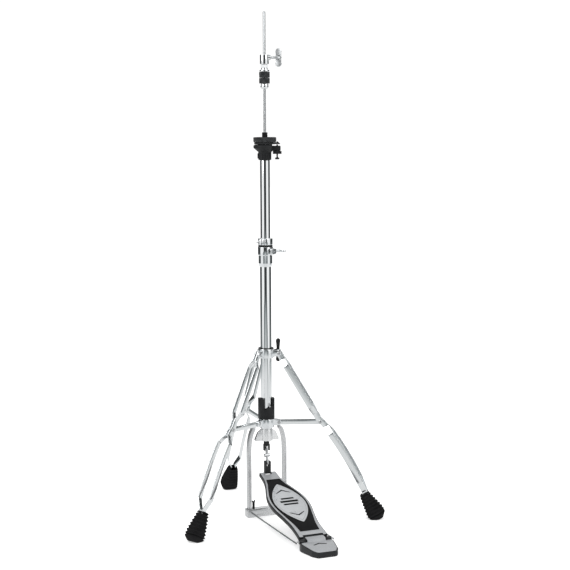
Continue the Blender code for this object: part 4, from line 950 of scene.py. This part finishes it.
def strip(name, path, thick, width):
    """A strip on edge along a path of (across, height) points, with its width in the leg's own direction."""
    points, faces = [], []
    for left, right in zip(*band(path, thick)):
        out = bow_out(-(left[1] + right[1]) / 2)
        for x in (out - width / 2, out + width / 2):
            points += [(x, *left), (x, *right)]
    for i in range(len(path) - 1):
        for a, b in ((0, 1), (1, 3), (3, 2), (2, 0)):
            faces.append((4 * i + a, 4 * i + b, 4 * i + 4 + b, 4 * i + 4 + a))
    last = 4 * (len(path) - 1)
    faces += [(0, 2, 3, 1), (last, last + 1, last + 3, last + 2)]
    return bevelled(tidy(new_mesh(name, points, faces)), 0.8 * MM, 3, 60)


def leg(name):
    frame_at = hinge_frame(f"leg_{name}_fold", LEG_TILT)
    for letter, side in (("a", 1), ("b", -1)):
        path = mm([(side * out, -down) for down, out in LEG_PATH])
        bends = fillet(path, 7 * MM, closed=False, steps=8)
        dense = bends[:1]
        for before, after in zip(bends, bends[1:]):
            gap = Vector(after) - Vector(before)
            parts = max(1, round(gap.length / STRIP_PIECE))
            dense += [tuple(Vector(before) + gap * (k + 1) / parts) for k in range(parts)]
        piece = moved(strip(f"strip_{name}_{letter}", dense, BRACE_THICK, BRACE_WIDTH), frame_at)
        show(piece, f"brace_{name}_{letter}", CHROME_STRIP, angle=40)
    boot(name, frame_at)
    half = NEAR + BRACE_THICK / 2
    rivet(f"hinge_rivet_{name}", frame_at, half + 2.7 * MM, 4.0 * MM, 1.5 * MM, f"leg_{name}")
    knee = frame_at @ shift(z=-KNEE_DOWN)
    rivet(f"knee_rivet_{name}", knee, half, 4.2 * MM, 1.6 * MM, f"leg_{name}")


def along_line(knots, share):
    """The value of a line through the knots, in metres."""
    for (a, low), (b, high) in zip(knots, knots[1:]):
        if share <= b:
            return (low + (high - low) * (share - a) / (b - a)) * MM
    return knots[-1][1] * MM


def boot(name, frame_at):
    """A rubber boot over the end of the leg: ribbed sides, a flared heel and a flat sole."""
    rows, around, ribs = 150, 96, 9
    groove_deep = 2.4 * MM
    rings = []
    for row in range(rows + 1):
        t = row / rows
        z = BOOT_TOP + (BOOT_BOTTOM - BOOT_TOP) * t
        front, back, half = (along_line(knots, t) for knots in (BOOT_FRONT, BOOT_BACK, BOOT_SIDE))
        middle, reach = (front + back) / 2, (front - back) / 2
        rib = (t * ribs) % 1.0
        groove = groove_deep * min(1.0, max(0.0, 1.25 - abs(rib - 0.5) * 3.2)) if 0.05 < t < 0.84 else 0.0
        ring = []
        for i in range(around):
            angle = 2 * math.pi * i / around
            c, s = math.cos(angle), math.sin(angle)
            corner = (abs(c) ** BOOT_SQUARE + abs(s) ** BOOT_SQUARE) ** (-1 / BOOT_SQUARE)
            ring.append((middle + (reach - groove) * corner * c, (half - groove) * corner * s, z))
        rings.append(ring)
    made = capped(f"boot_{name}", rings, (0, 0, BOOT_TOP), (middle, 0, BOOT_BOTTOM))
    pocket = box("pocket", (BRACE_WIDTH + 0.5 * MM, 13.1 * MM, 60 * MM), (0, 0, -369 * MM))
    made = moved(cut(made, pocket), frame_at)
    made = cut(made, box("sole_cut", (1.2, 1.2, 0.2), (0, 0, -0.1)))
    show(made, f"foot_{name}", RUBBER, angle=50)


def strut(name):
    pivot = anchor(f"strut_{name}_swing")
    hinge = anchor(f"leg_{name}_fold")
    run = across_of(hinge) + KNEE_DOWN * math.sin(LEG_TILT) - across_of(pivot)
    rise = hinge.z - KNEE_DOWN * math.cos(LEG_TILT) - pivot.z
    long = math.hypot(run, rise)
    frame_at = hinge_frame(f"strut_{name}_swing", math.atan2(rise, run))
    half = 6.35 * MM
    shape = arc((0, 0), half, 90, 270, 24) + arc((long, 0), half, -90, 90, 24)
    link = plate(f"strut_bar_{name}", shape, 3.0 * MM, 0.8 * MM)
    show(moved(link, frame_at @ STAND_UP), f"strut_{name}", CHROME_STRIP)
    rivet(f"strut_rivet_{name}", frame_at, 4.4 * MM, 3.9 * MM, 1.4 * MM, f"strut_{name}")


# ------------------------------------------------------------------- frame

SIDES = (("left", -1), ("right", 1))
POST_X = 43.5 * MM
POST_BEND_Z = 150 * MM
SPUR_X = 33 * MM
ROD_FRONT_Z = 10.5 * MM
SPUR_EARS = (
    (-2.4, 0), (-2.6, 4), (-4.9, 9.6), (-3.4, 11), (-1.4, 8.2),
    (1.4, 8.2), (3.4, 11), (4.9, 9.6), (2.6, 4), (2.4, 0),
)


def post_side(offset, low, top):
    """One side of a frame post: straight up, then curving in to the yoke."""
    bend, steps = 14.5 * MM, 24
    rise = top - POST_BEND_Z
    points = [(POST_X + offset, low), (POST_X + offset, POST_BEND_Z)]
    for i in range(1, steps + 1):
        turn = math.pi / 2 * i / steps
        slope = math.atan2(rise * math.cos(turn), -bend * math.sin(turn))
        across = POST_X - bend * (1 - math.cos(turn))
        up = POST_BEND_Z + rise * math.sin(turn)
        points.append((across + offset * math.sin(slope), up - offset * math.cos(slope)))
    return points


def yoke():
    low, high = span("frame_yoke")
    made = tube("shaft_yoke", 13.5 * MM, ROD_R + 0.6 * MM, low, high, 1.0 * MM, 128)
    inner, outer, foot = 8 * MM, 29 * MM, low + 0.5 * MM
    web = [(x * MM, high + z * MM) for x, z in ((8, -0.5), (13, -0.5), (22, -8))]
    web += [(outer, low + 4 * MM), (outer, foot), (inner, foot)]
    for side in (1, -1):
        rib = plate("web", [(side * x, z) for x, z in web], 9 * MM, 1.4 * MM)
        made = join(made, moved(rib, STAND_UP))
    # The yoke wears the lighter copy of the casting: painted light.
    show(made, "frame_yoke", CAST_PAINTED_LIGHT, angle=40)


def post(name, side):
    low, top = span(f"frame_post_{name}")
    half = 4.0 * MM
    outline = post_side(half, low, top) + post_side(-half, low, top)[::-1]
    outline = [(side * x, z) for x, z in outline]
    made = plate(f"post_{name}", outline, 12 * MM, 2.4 * MM, segments=5, angle=50)
    moved(made, STAND_UP)
    room = box("web_room", (62 * MM, 9.6 * MM, 60 * MM), (0, 0, 190 * MM))
    groove_at = (side * POST_X, -6.6 * MM, 88 * MM)
    groove = box("groove", (3.2 * MM, 2.4 * MM, 112 * MM), groove_at, 1.1 * MM, 4)
    show(cut(made, room, groove), f"frame_post_{name}", CAST, angle=40)


def spur(name, side):
    low, high = span(f"spur_{name}")
    screw = threaded(f"spur_screw_{name}", 2.95 * MM, low + 4.5 * MM, high - 5 * MM, 1.0 * MM, 0.35 * MM)
    neck = low + 5 * MM
    tip = lathe("tip", [(0, neck), (2.5 * MM, neck), (0.25 * MM, low), (0, low)], 40)
    ears = plate("ears", fillet(mm(SPUR_EARS), 1.4 * MM), 3.2 * MM, 0.8 * MM)
    moved(ears, shift(z=high - 11 * MM) @ STAND_UP)
    made = join(screw, tip, moved(ears, turn_z(20)))
    show(moved(made, shift(side * SPUR_X)), f"spur_{name}", BLACK_METAL)


def radius_rod(name, side):
    """The bent wire between the base bar and the heel hinge."""
    low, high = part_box(f"radius_rod_{name}")
    rise = anchor("pedal_hinge").z - 2 * MM - ROD_FRONT_Z
    x0, x1 = side * 40 * MM, side * POST_X
    path = [(high.y, x0), (high.y - 8 * MM, x0), (low.y + 28 * MM, x1), (low.y, x1)]
    points = []
    for y, x in fillet(path, 14 * MM, closed=False, steps=10):
        share = (high.y - y) / (high.y - low.y)
        points.append((x, y, ROD_FRONT_Z + rise * min(1.0, share)))
    show(wire(f"side_rod_{name}", points, 2.0 * MM, 6), f"radius_rod_{name}", STEEL, angle=60)


def base_bar():
    low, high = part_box("base_plate")
    size = high - low
    foot = box("base_bar", size, (low + high) / 2, 2.2 * MM, 4)
    channel = (size.x - 30 * MM, 3 * MM, 8.5 * MM)
    foot = cut(foot, box("channel", channel, (0, low.y, 9.2 * MM), 1.2 * MM, 3))
    for side in (-1, 1):
        foot = drilled(foot, 3.3 * MM, -0.1, 0.1, shift(side * SPUR_X))
    show(foot, "base_plate", CAST, angle=40)


def frame_pieces():
    yoke()
    for name, side in SIDES:
        post(name, side)
    base_bar()
    for name, side in SIDES:
        spur(name, side)
        radius_rod(name, side)


# ------------------------------------------------------------------- pedal

HINGE = anchor("pedal_hinge")
BOARD_RISE = 78 * MM
BOARD_RUN = 271.5 * MM
BOARD_LENGTH = 285 * MM
BOARD_FRAME = shift(*HINGE) @ Matrix.Rotation(math.atan2(BOARD_RISE, BOARD_RUN), 4, "X")
BOARD_TOP = 5.2 * MM
BOARD_THICK = 9 * MM
TOE_SLOT_FROM = 274.5 * MM
PANEL_MIDDLE = 0.508 * BOARD_LENGTH
HEEL_TAPER = 0.2
HALF_WIDTHS = (
    (0.0, 34), (0.10, 32.5), (0.21, 33), (0.33, 38), (0.43, 43.5), (0.525, 45.5),
    (0.62, 42.5), (0.72, 34), (0.80, 26.5), (0.875, 22), (0.93, 20.5), (1.0, 20),
)


def eased(knots, at):
    """A smooth curve through the knots."""
    i = next((k for k in range(len(knots) - 2) if at <= knots[k + 1][0]), len(knots) - 2)
    (a, low), (b, high) = knots[i], knots[i + 1]
    before = knots[max(i - 1, 0)]
    after = knots[min(i + 2, len(knots) - 1)]
    m0 = (high - before[1]) / (b - before[0]) * (b - a)
    m1 = (after[1] - low) / (after[0] - a) * (b - a)
    t = (at - a) / (b - a)
    return (
        (2 * t**3 - 3 * t**2 + 1) * low + (t**3 - 2 * t**2 + t) * m0
        + (-2 * t**3 + 3 * t**2) * high + (t**3 - t**2) * m1
    )


def board_outline(first, last, inset, heel_inset=0.0):
    """Outline between two shares of the board's length, drawn in by inset, and by more towards the heel."""
    steps = 60
    left = []
    for i in range(steps + 1):
        share = first + (last - first) * i / steps
        heelward = max(0, 1 - (share - first) / HEEL_TAPER)
        half = eased(HALF_WIDTHS, share) * MM - inset - heel_inset * heelward
        left.append((-half, share * BOARD_LENGTH))
    return mirrored(left)


def almond(half_long, half_wide):
    """A pointed oval along Y, round the panel's middle."""
    steps = 40
    side = []
    for i in range(steps + 1):
        t = -1 + 2 * i / steps
        side.append((half_wide * (1 - abs(t) ** 1.9) ** 0.92, PANEL_MIDDLE + half_long * t))
    return [(-x, y) for x, y in side] + side[::-1][1:-1]


def on_board(obj, height, node, material, angle=32):
    """A flat piece laid on the footboard, at this height over its top face."""
    moved(obj, BOARD_FRAME @ shift(z=BOARD_TOP + height))
    show(obj, node, material, "footboard", angle)


def board():
    made = fillet(board_outline(0.035, 1.0, 0), 4 * MM, steps=6)
    made = plate("board_body", made, BOARD_THICK, 1.2 * MM, angle=60)
    moved(made, shift(z=BOARD_TOP - BOARD_THICK / 2))
    knuckle = moved(bar("knuckle", 4.5 * MM, -25 * MM, 25 * MM, 0.6 * MM), ALONG_X)
    arm = box("arm", (50 * MM, 16 * MM, 5.5 * MM), (0, 7 * MM, 0.2 * MM), 0.8 * MM)
    made = drilled(join(made, knuckle, arm), 2.3 * MM, -60 * MM, 60 * MM, ALONG_X)
    slot = box("slot", (15 * MM, 40 * MM, 30 * MM), (0, TOE_SLOT_FROM + 20 * MM, 0), 1.5 * MM)
    room = box("tongue_room", (46 * MM, 31 * MM, 20 * MM), (0, 0, 13.3 * MM))
    made = cut(made, slot, room)
    for x in (-14 * MM, 14 * MM):
        hollow_at = (x, 0.51 * BOARD_LENGTH, -5.6 * MM)
        made = cut(made, box("hollow", (20 * MM, 150 * MM, 8 * MM), hollow_at, 2.5 * MM))
    show(moved(made, BOARD_FRAME), "footboard", BLACK_METAL, angle=40)

    face = fillet(board_outline(0.036, 0.996, 1.7 * MM), 3.5 * MM, steps=6)
    face = plate("board_face", face, 1.0 * MM, 0.3 * MM, angle=60)
    notch = box("notch", (47 * MM, 31 * MM, 10 * MM))
    toe = box("toe", (16.5 * MM, 40 * MM, 10 * MM), (0, TOE_SLOT_FROM + 19 * MM, 0), 1.5 * MM)
    on_board(cut(face, notch, toe), -0.1 * MM, None, SILVER, 40)
    grip = fillet(board_outline(0.105, 0.875, 5.6 * MM, 4.5 * MM), 2.5 * MM)
    grip = plate("board_inlay", grip, 0.9 * MM, 0.3 * MM, segments=2, angle=60)
    on_board(grip, 0.75 * MM, "footboard_grip", RUBBER, 40)


def panel():
    """The almond-shaped panel, with a line round it, three bars and two chevrons."""
    made = plate("board_panel", almond(80.5 * MM, 35.5 * MM), 0.9 * MM, 0.35 * MM, angle=50)
    on_board(made, 1.5 * MM, "footboard_panel", SILVER_PANEL, 40)
    line = plate("panel_line", almond(74.5 * MM, 32.5 * MM), 0.4 * MM, holes=[almond(72.3 * MM, 31.2 * MM)])
    on_board(line, 1.85 * MM, None, SILVER)
    for i, (y, half, high) in enumerate(((17, 15, 2.6), (5, 21, 3.4), (-6.5, 17, 2.6))):
        size = (2 * half * MM, 2 * high * MM, 0.9 * MM)
        on_board(box(f"grip_bar_{i}", size, (0, PANEL_MIDDLE + y * MM, 0), 0.4 * MM), 2.1 * MM, None, RUBBER)
    for name, start, way in (("toe", 55, -1), ("heel", -55, 1)):
        tip = PANEL_MIDDLE + start * MM
        chevron = [(-17 * MM, tip + way * 13 * MM), (0, tip), (17 * MM, tip + way * 13 * MM)]
        inner = [(x, y + way * 4.5 * MM * (1 - abs(x) / (30 * MM))) for x, y in chevron[::-1]]
        on_board(plate(f"panel_stripe_{name}", chevron + inner, 0.5 * MM), 1.95 * MM, None, RUBBER)


def toe_block():
    low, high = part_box("toe_block")
    toe = box("toe_clevis", (14.4 * MM, 13 * MM, 30 * MM), (0, 0, 0), 2.6 * MM, 5)
    toe = cut(toe, box("fork", (7.6 * MM, 30 * MM, 20 * MM), (0, 0, 12 * MM), 1.0 * MM))
    toe = cut(toe, box("line", (20 * MM, 1.2 * MM, 1.2 * MM), (0, -6.5 * MM, -1.5 * MM)))
    pin = moved(bar("pin", 1.7 * MM, -7.2 * MM, 7.2 * MM, 0.4 * MM, 40), shift(z=9.5 * MM) @ ALONG_X)
    show(moved(join(toe, pin), shift(*(low + high) / 2)), "toe_block", BLACK_METAL)


COVER_LIFT = 18.6 * MM
HEEL_TILT = Matrix.Rotation(math.atan2(6.5, 66), 4, "X")
TONGUE_SIDE = (
    (-14, -1.7), (-9.3, -0.9), (-6.2, 4.6), (4.5, 6.6), (4.5, 7.8), (-6.9, 5.8), (-10.3, 0.3), (-14, -0.4),
)


def heel():
    at_hinge = shift(0, HINGE.y, HINGE.z)
    back_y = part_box("heel_base")[0].y
    outline = [(-37 * MM, HINGE.y + 3 * MM), (-38 * MM, HINGE.y - 14 * MM)]
    outline = mirrored(outline + [(-30 * MM, back_y + 14 * MM), (-22 * MM, back_y)])
    body = plate("heel_block", fillet(outline, 9 * MM, steps=8), 24 * MM, 1.6 * MM, segments=4, angle=50)
    moved(body, shift(z=12 * MM))
    off = moved(box("off", (0.2, 0.2, 0.04), (0, 0, 0.02)), shift(0, HINGE.y, 17.5 * MM) @ HEEL_TILT)
    room = box("room", (52 * MM, 30 * MM, 40 * MM), (0, HINGE.y + 8 * MM, HINGE.z + 11 * MM))
    well = moved(bar("well", 6.2 * MM, -26 * MM, 26 * MM), at_hinge @ ALONG_X)
    body = cut(body, off, room, well)
    ears = moved(bar("ears", 5 * MM, -37 * MM, 37 * MM, 0.8 * MM), ALONG_X)
    ears = moved(cut(ears, box("gap", (52 * MM, 40 * MM, 40 * MM))), at_hinge)
    body = drilled(join(body, ears), 2.3 * MM, -60 * MM, 60 * MM, at_hinge @ ALONG_X)
    under = box("under", (56 * MM, 40 * MM, 6 * MM), (0, HINGE.y - 34 * MM, 0), 2 * MM)
    show(cut(body, under), "heel_base", BLACK_METAL, angle=40)

    front = -8 * MM
    top = [(x * 0.93, front + (y - HINGE.y - front) * 0.96) for x, y in outline[1:-1]]
    top = [(-35 * MM, front)] + top + [(35 * MM, front)]
    cover = plate("heel_cover", fillet(top, 7 * MM, steps=8), 1.6 * MM, 0.5 * MM)
    cover_at = shift(0, HINGE.y, COVER_LIFT) @ HEEL_TILT
    show(moved(cover, cover_at), "heel_plate", SILVER, angle=40)

    tongue = plate("heel_tongue", fillet(mm(TONGUE_SIDE), 1.6 * MM), 42 * MM, 0.35 * MM, segments=2, angle=60)
    # The tongue wears the darker copy of the silver paint: painted shade.
    show(moved(tongue, at_hinge @ ACROSS), None, SILVER_PAINTED_SHADE, "stand", 40)
    stripe = mm([(-15, -26), (0, -19), (15, -26), (15, -28.4), (0, -22.4), (-15, -28.4)])
    mark = plate("heel_stripe", stripe, 0.5 * MM)
    show(moved(mark, cover_at @ shift(z=0.95 * MM)), None, RUBBER, "stand")
    low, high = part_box("hinge_pin")
    pin = moved(bar("heel_pin", 2.0 * MM, low.x, high.x, 0.5 * MM, 48), at_hinge @ ALONG_X)
    show(pin, "hinge_pin", STEEL)


def pull_link():
    top = anchor("pull_link_swing").z
    nut_low = 166.5 * MM
    nut = hexagon("rod_end_nut", 12.4 * MM, nut_low, span("rod_nut")[1])
    fork_low, fork_top = top - 7 * MM, nut_low + 1 * MM
    fork_at = (0, 0, (fork_low + fork_top) / 2)
    fork = box("fork", (14.6 * MM, 8 * MM, fork_top - fork_low), fork_at, 1.2 * MM, 4)
    fork = cut(fork, box("gap", (9.6 * MM, 30 * MM, 16 * MM), (0, 0, top - 3.0 * MM)))
    pin = moved(bar("pin", 1.7 * MM, -7.4 * MM, 7.4 * MM, 0.3 * MM, 40), shift(z=top) @ ALONG_X)
    show(join(nut, fork, pin), "rod_nut", BLACK_METAL)

    toe = Vector((0, HINGE.y + BOARD_RUN, 123.5 * MM))
    drop = top - toe.z
    long = math.hypot(toe.y, drop)
    end_r, waist = 4.4 * MM, 2.6 * MM
    shape = arc((0, 0), end_r, 180, 0, 24) + [(waist, -long / 2)]
    shape += arc((0, -long), end_r, 0, -180, 24) + [(-waist, -long / 2)]
    holes = [circle(2.1 * MM, 32), circle(3.3 * MM, 32, (0, -long))]
    link = plate("chain_strap", shape, 4.4 * MM, 0.5 * MM, holes, segments=2, angle=60)
    roller = bar("roller", 3.8 * MM, -7 * MM, 7 * MM, 0.6 * MM)
    link = join(link, moved(roller, shift(y=-long / 2)))
    pose = shift(z=top) @ Matrix.Rotation(math.atan2(toe.y, drop), 4, "X") @ ACROSS
    show(moved(link, pose), "chain_link", STEEL, angle=40)


# ------------------------------------------------------- studio and camera

TOWARD_CAMERA = 247.5
DOME_R = 5.0
FLOOR_R = 14.0
LAMP_R = 2.4
LAMP_Z = 1.9
LAMP_AIM = Vector((0, 0, 0.5))

# What the polished parts see in front, at heights from low to high: the middle, the bands beside it, the
# white panels further out, and the side walls behind those.
FRONT_TONES = (
    (-1.20, 0.80, 0.80, 0.88, 0.88),
    (-0.85, 0.80, 0.78, 0.86, 0.84),
    (-0.65, 0.74, 0.50, 0.80, 0.32),
    (-0.53, 0.62, 0.27, 0.78, 0.15),
    (-0.37, 0.62, 0.26, 0.90, 0.17),
    (-0.20, 0.50, 0.24, 0.98, 0.12),
    (-0.03, 0.44, 0.20, 1.04, 0.07),
    (0.25, 0.05, 0.04, 1.08, 0.05),
)


def between(value, first, last):
    """0 below first, 1 above last, eased between."""
    t = min(max((value - first) / (last - first), 0.0), 1.0)
    return t * t * (3 - 2 * t)


def tones_at(height):
    """The four tones of FRONT_TONES at this height."""
    if height <= FRONT_TONES[0][0]:
        return FRONT_TONES[0][1:]
    for low, high in zip(FRONT_TONES, FRONT_TONES[1:]):
        if height <= high[0]:
            t = (height - low[0]) / (high[0] - low[0])
            return tuple(a + (b - a) * t for a, b in zip(low[1:], high[1:]))
    return FRONT_TONES[-1][1:]


def dome_tone(turn, height):
    """What polished metal sees, by direction from the camera's side and by height.

    White panels stand at each side of the camera, with dark ones in front, beside and behind. Lower down,
    the front fades to the pale floor between two grey bands.
    """
    turn = abs((turn + 180) % 360 - 180)
    middle, band_tone, panel_tone, wall = tones_at(height)
    half = 27 + 13 * (1 - between(height, -0.03, 0.25))
    tone = middle + (band_tone - middle) * between(turn, 9, 16)
    tone += (panel_tone - tone) * between(turn, half - 5, half + 4)
    tone += (wall - tone) * between(turn, 74, 86)
    tone += (0.92 - tone) * between(turn, 152, 160)
    lid = 0.98 - 0.55 * between(height, 4.3, 4.9)
    lid -= 0.45 * between(turn, 120, 150) * (1 - between(height, 3.4, 4.0))
    return tone + (lid - tone) * between(height, 2.3, 3.1)


def reflection_dome():
    """A sphere round the stand that only glossy rays see, so that the chrome has a studio to reflect."""
    around, rows = 240, 160
    points, tones = [], []
    for row in range(rows + 1):
        rise = math.pi * (row / rows - 0.5)
        height = DOME_R * math.sin(rise)
        for i in range(around):
            turn = 360 * i / around
            points.append(polar(DOME_R * math.cos(rise), math.radians(turn), height))
            tones.append(dome_tone(turn - TOWARD_CAMERA, height))
    dome = new_mesh("reflection_dome", points, ring_faces(rows + 1, around))
    dome.data.attributes.new("tone", "FLOAT", "POINT").data.foreach_set("value", tones)
    shade = bpy.data.materials.new("reflection_dome")
    shade.use_nodes = True
    tree = shade.node_tree
    tree.nodes.clear()
    tone = add(tree, "Attribute", attribute_name="tone")
    tint = add(tree, "ValToRGB")
    tint.color_ramp.elements[0].color = (0.0, 0.0, 0.0, 1)
    tint.color_ramp.elements[1].color = (1.0, 1.0, 1.0, 1)
    tint.color_ramp.elements.new(0.4).color = (0.375, 0.405, 0.41, 1)
    glow = add(tree, "Emission", {"Strength": 1.0})
    tree.links.new(tone.outputs["Fac"], tint.inputs["Fac"])
    tree.links.new(tint.outputs["Color"], glow.inputs["Color"])
    tree.links.new(glow.outputs["Emission"], add(tree, "OutputMaterial").inputs["Surface"])
    dome.data.materials.append(shade)
    for ray in ("camera", "diffuse", "shadow", "transmission"):
        setattr(dome, f"visible_{ray}", False)


def floor():
    made = bar("pale_floor", FLOOR_R, -5 * MM, -0.2 * MM, steps=96)
    paint = surface(
        "pale_floor_paint", (0.97, 0.97, 0.97), (0.955, 0.955, 0.957), (0.8, 0.95), 0.0,
        grain=3, patch=0.5, specular=0.1,
    )
    lit = paint.node_tree.nodes["Principled BSDF"]
    lit.inputs["Emission Color"].default_value = (1, 1, 1, 1)
    lit.inputs["Emission Strength"].default_value = 0.3
    made.data.materials.append(paint)
    made.visible_glossy = False


def lamp(name, side, size, power):
    """A softbox beside the camera, turned this many degrees away from it."""
    light = bpy.data.lights.new(f"softbox_{name}", "AREA")
    light.shape = "RECTANGLE"
    light.size = size
    light.size_y = size * 1.6
    light.energy = power
    holder = linked(f"softbox_{name}", light)
    holder.location = polar(LAMP_R, math.radians(TOWARD_CAMERA - side), LAMP_Z)
    holder.rotation_euler = (LAMP_AIM - holder.location).to_track_quat("-Z", "Y").to_euler()
    holder.visible_camera = False


def studio():
    scene = bpy.context.scene
    world = bpy.data.worlds.new("white_studio")
    scene.world = world
    world.use_nodes = True
    back = world.node_tree.nodes["Background"]
    back.inputs["Color"].default_value = (1, 1, 1, 1)
    back.inputs["Strength"].default_value = 1.05
    scene.view_settings.view_transform = "Standard"
    floor()
    reflection_dome()
    lamp("left", 52, 1.3, 26)
    lamp("right", -48, 1.0, 16)


def camera():
    lens = bpy.data.cameras.new("camera")
    lens.sensor_width = 36.0
    lens.lens = 88.98
    lens.clip_start = 0.05
    lens.clip_end = 60
    holder = linked("camera", lens)
    bpy.context.scene.camera = holder
    holder.location = (-1.17102, -2.94180, 0.926)
    forward = Vector((0.37979, 0.91690, -0.12268))
    look = forward.to_track_quat("-Z", "Y").to_matrix().to_4x4()
    roll = Matrix.Rotation(math.radians(-0.232), 4, "Z")
    holder.rotation_euler = (look @ roll).to_euler()


def main():
    rods()
    tension()
    tubes()
    height_clamp()
    memory_lock()
    seat_base()
    seat_cup()
    tilt_screw()
    clutch()
    collar_and_bracket()
    for name in LEG_NAMES:
        leg(name)
        strut(name)
    frame_pieces()
    board()
    panel()
    toe_block()
    heel()
    pull_link()
    studio()
    camera()


main()
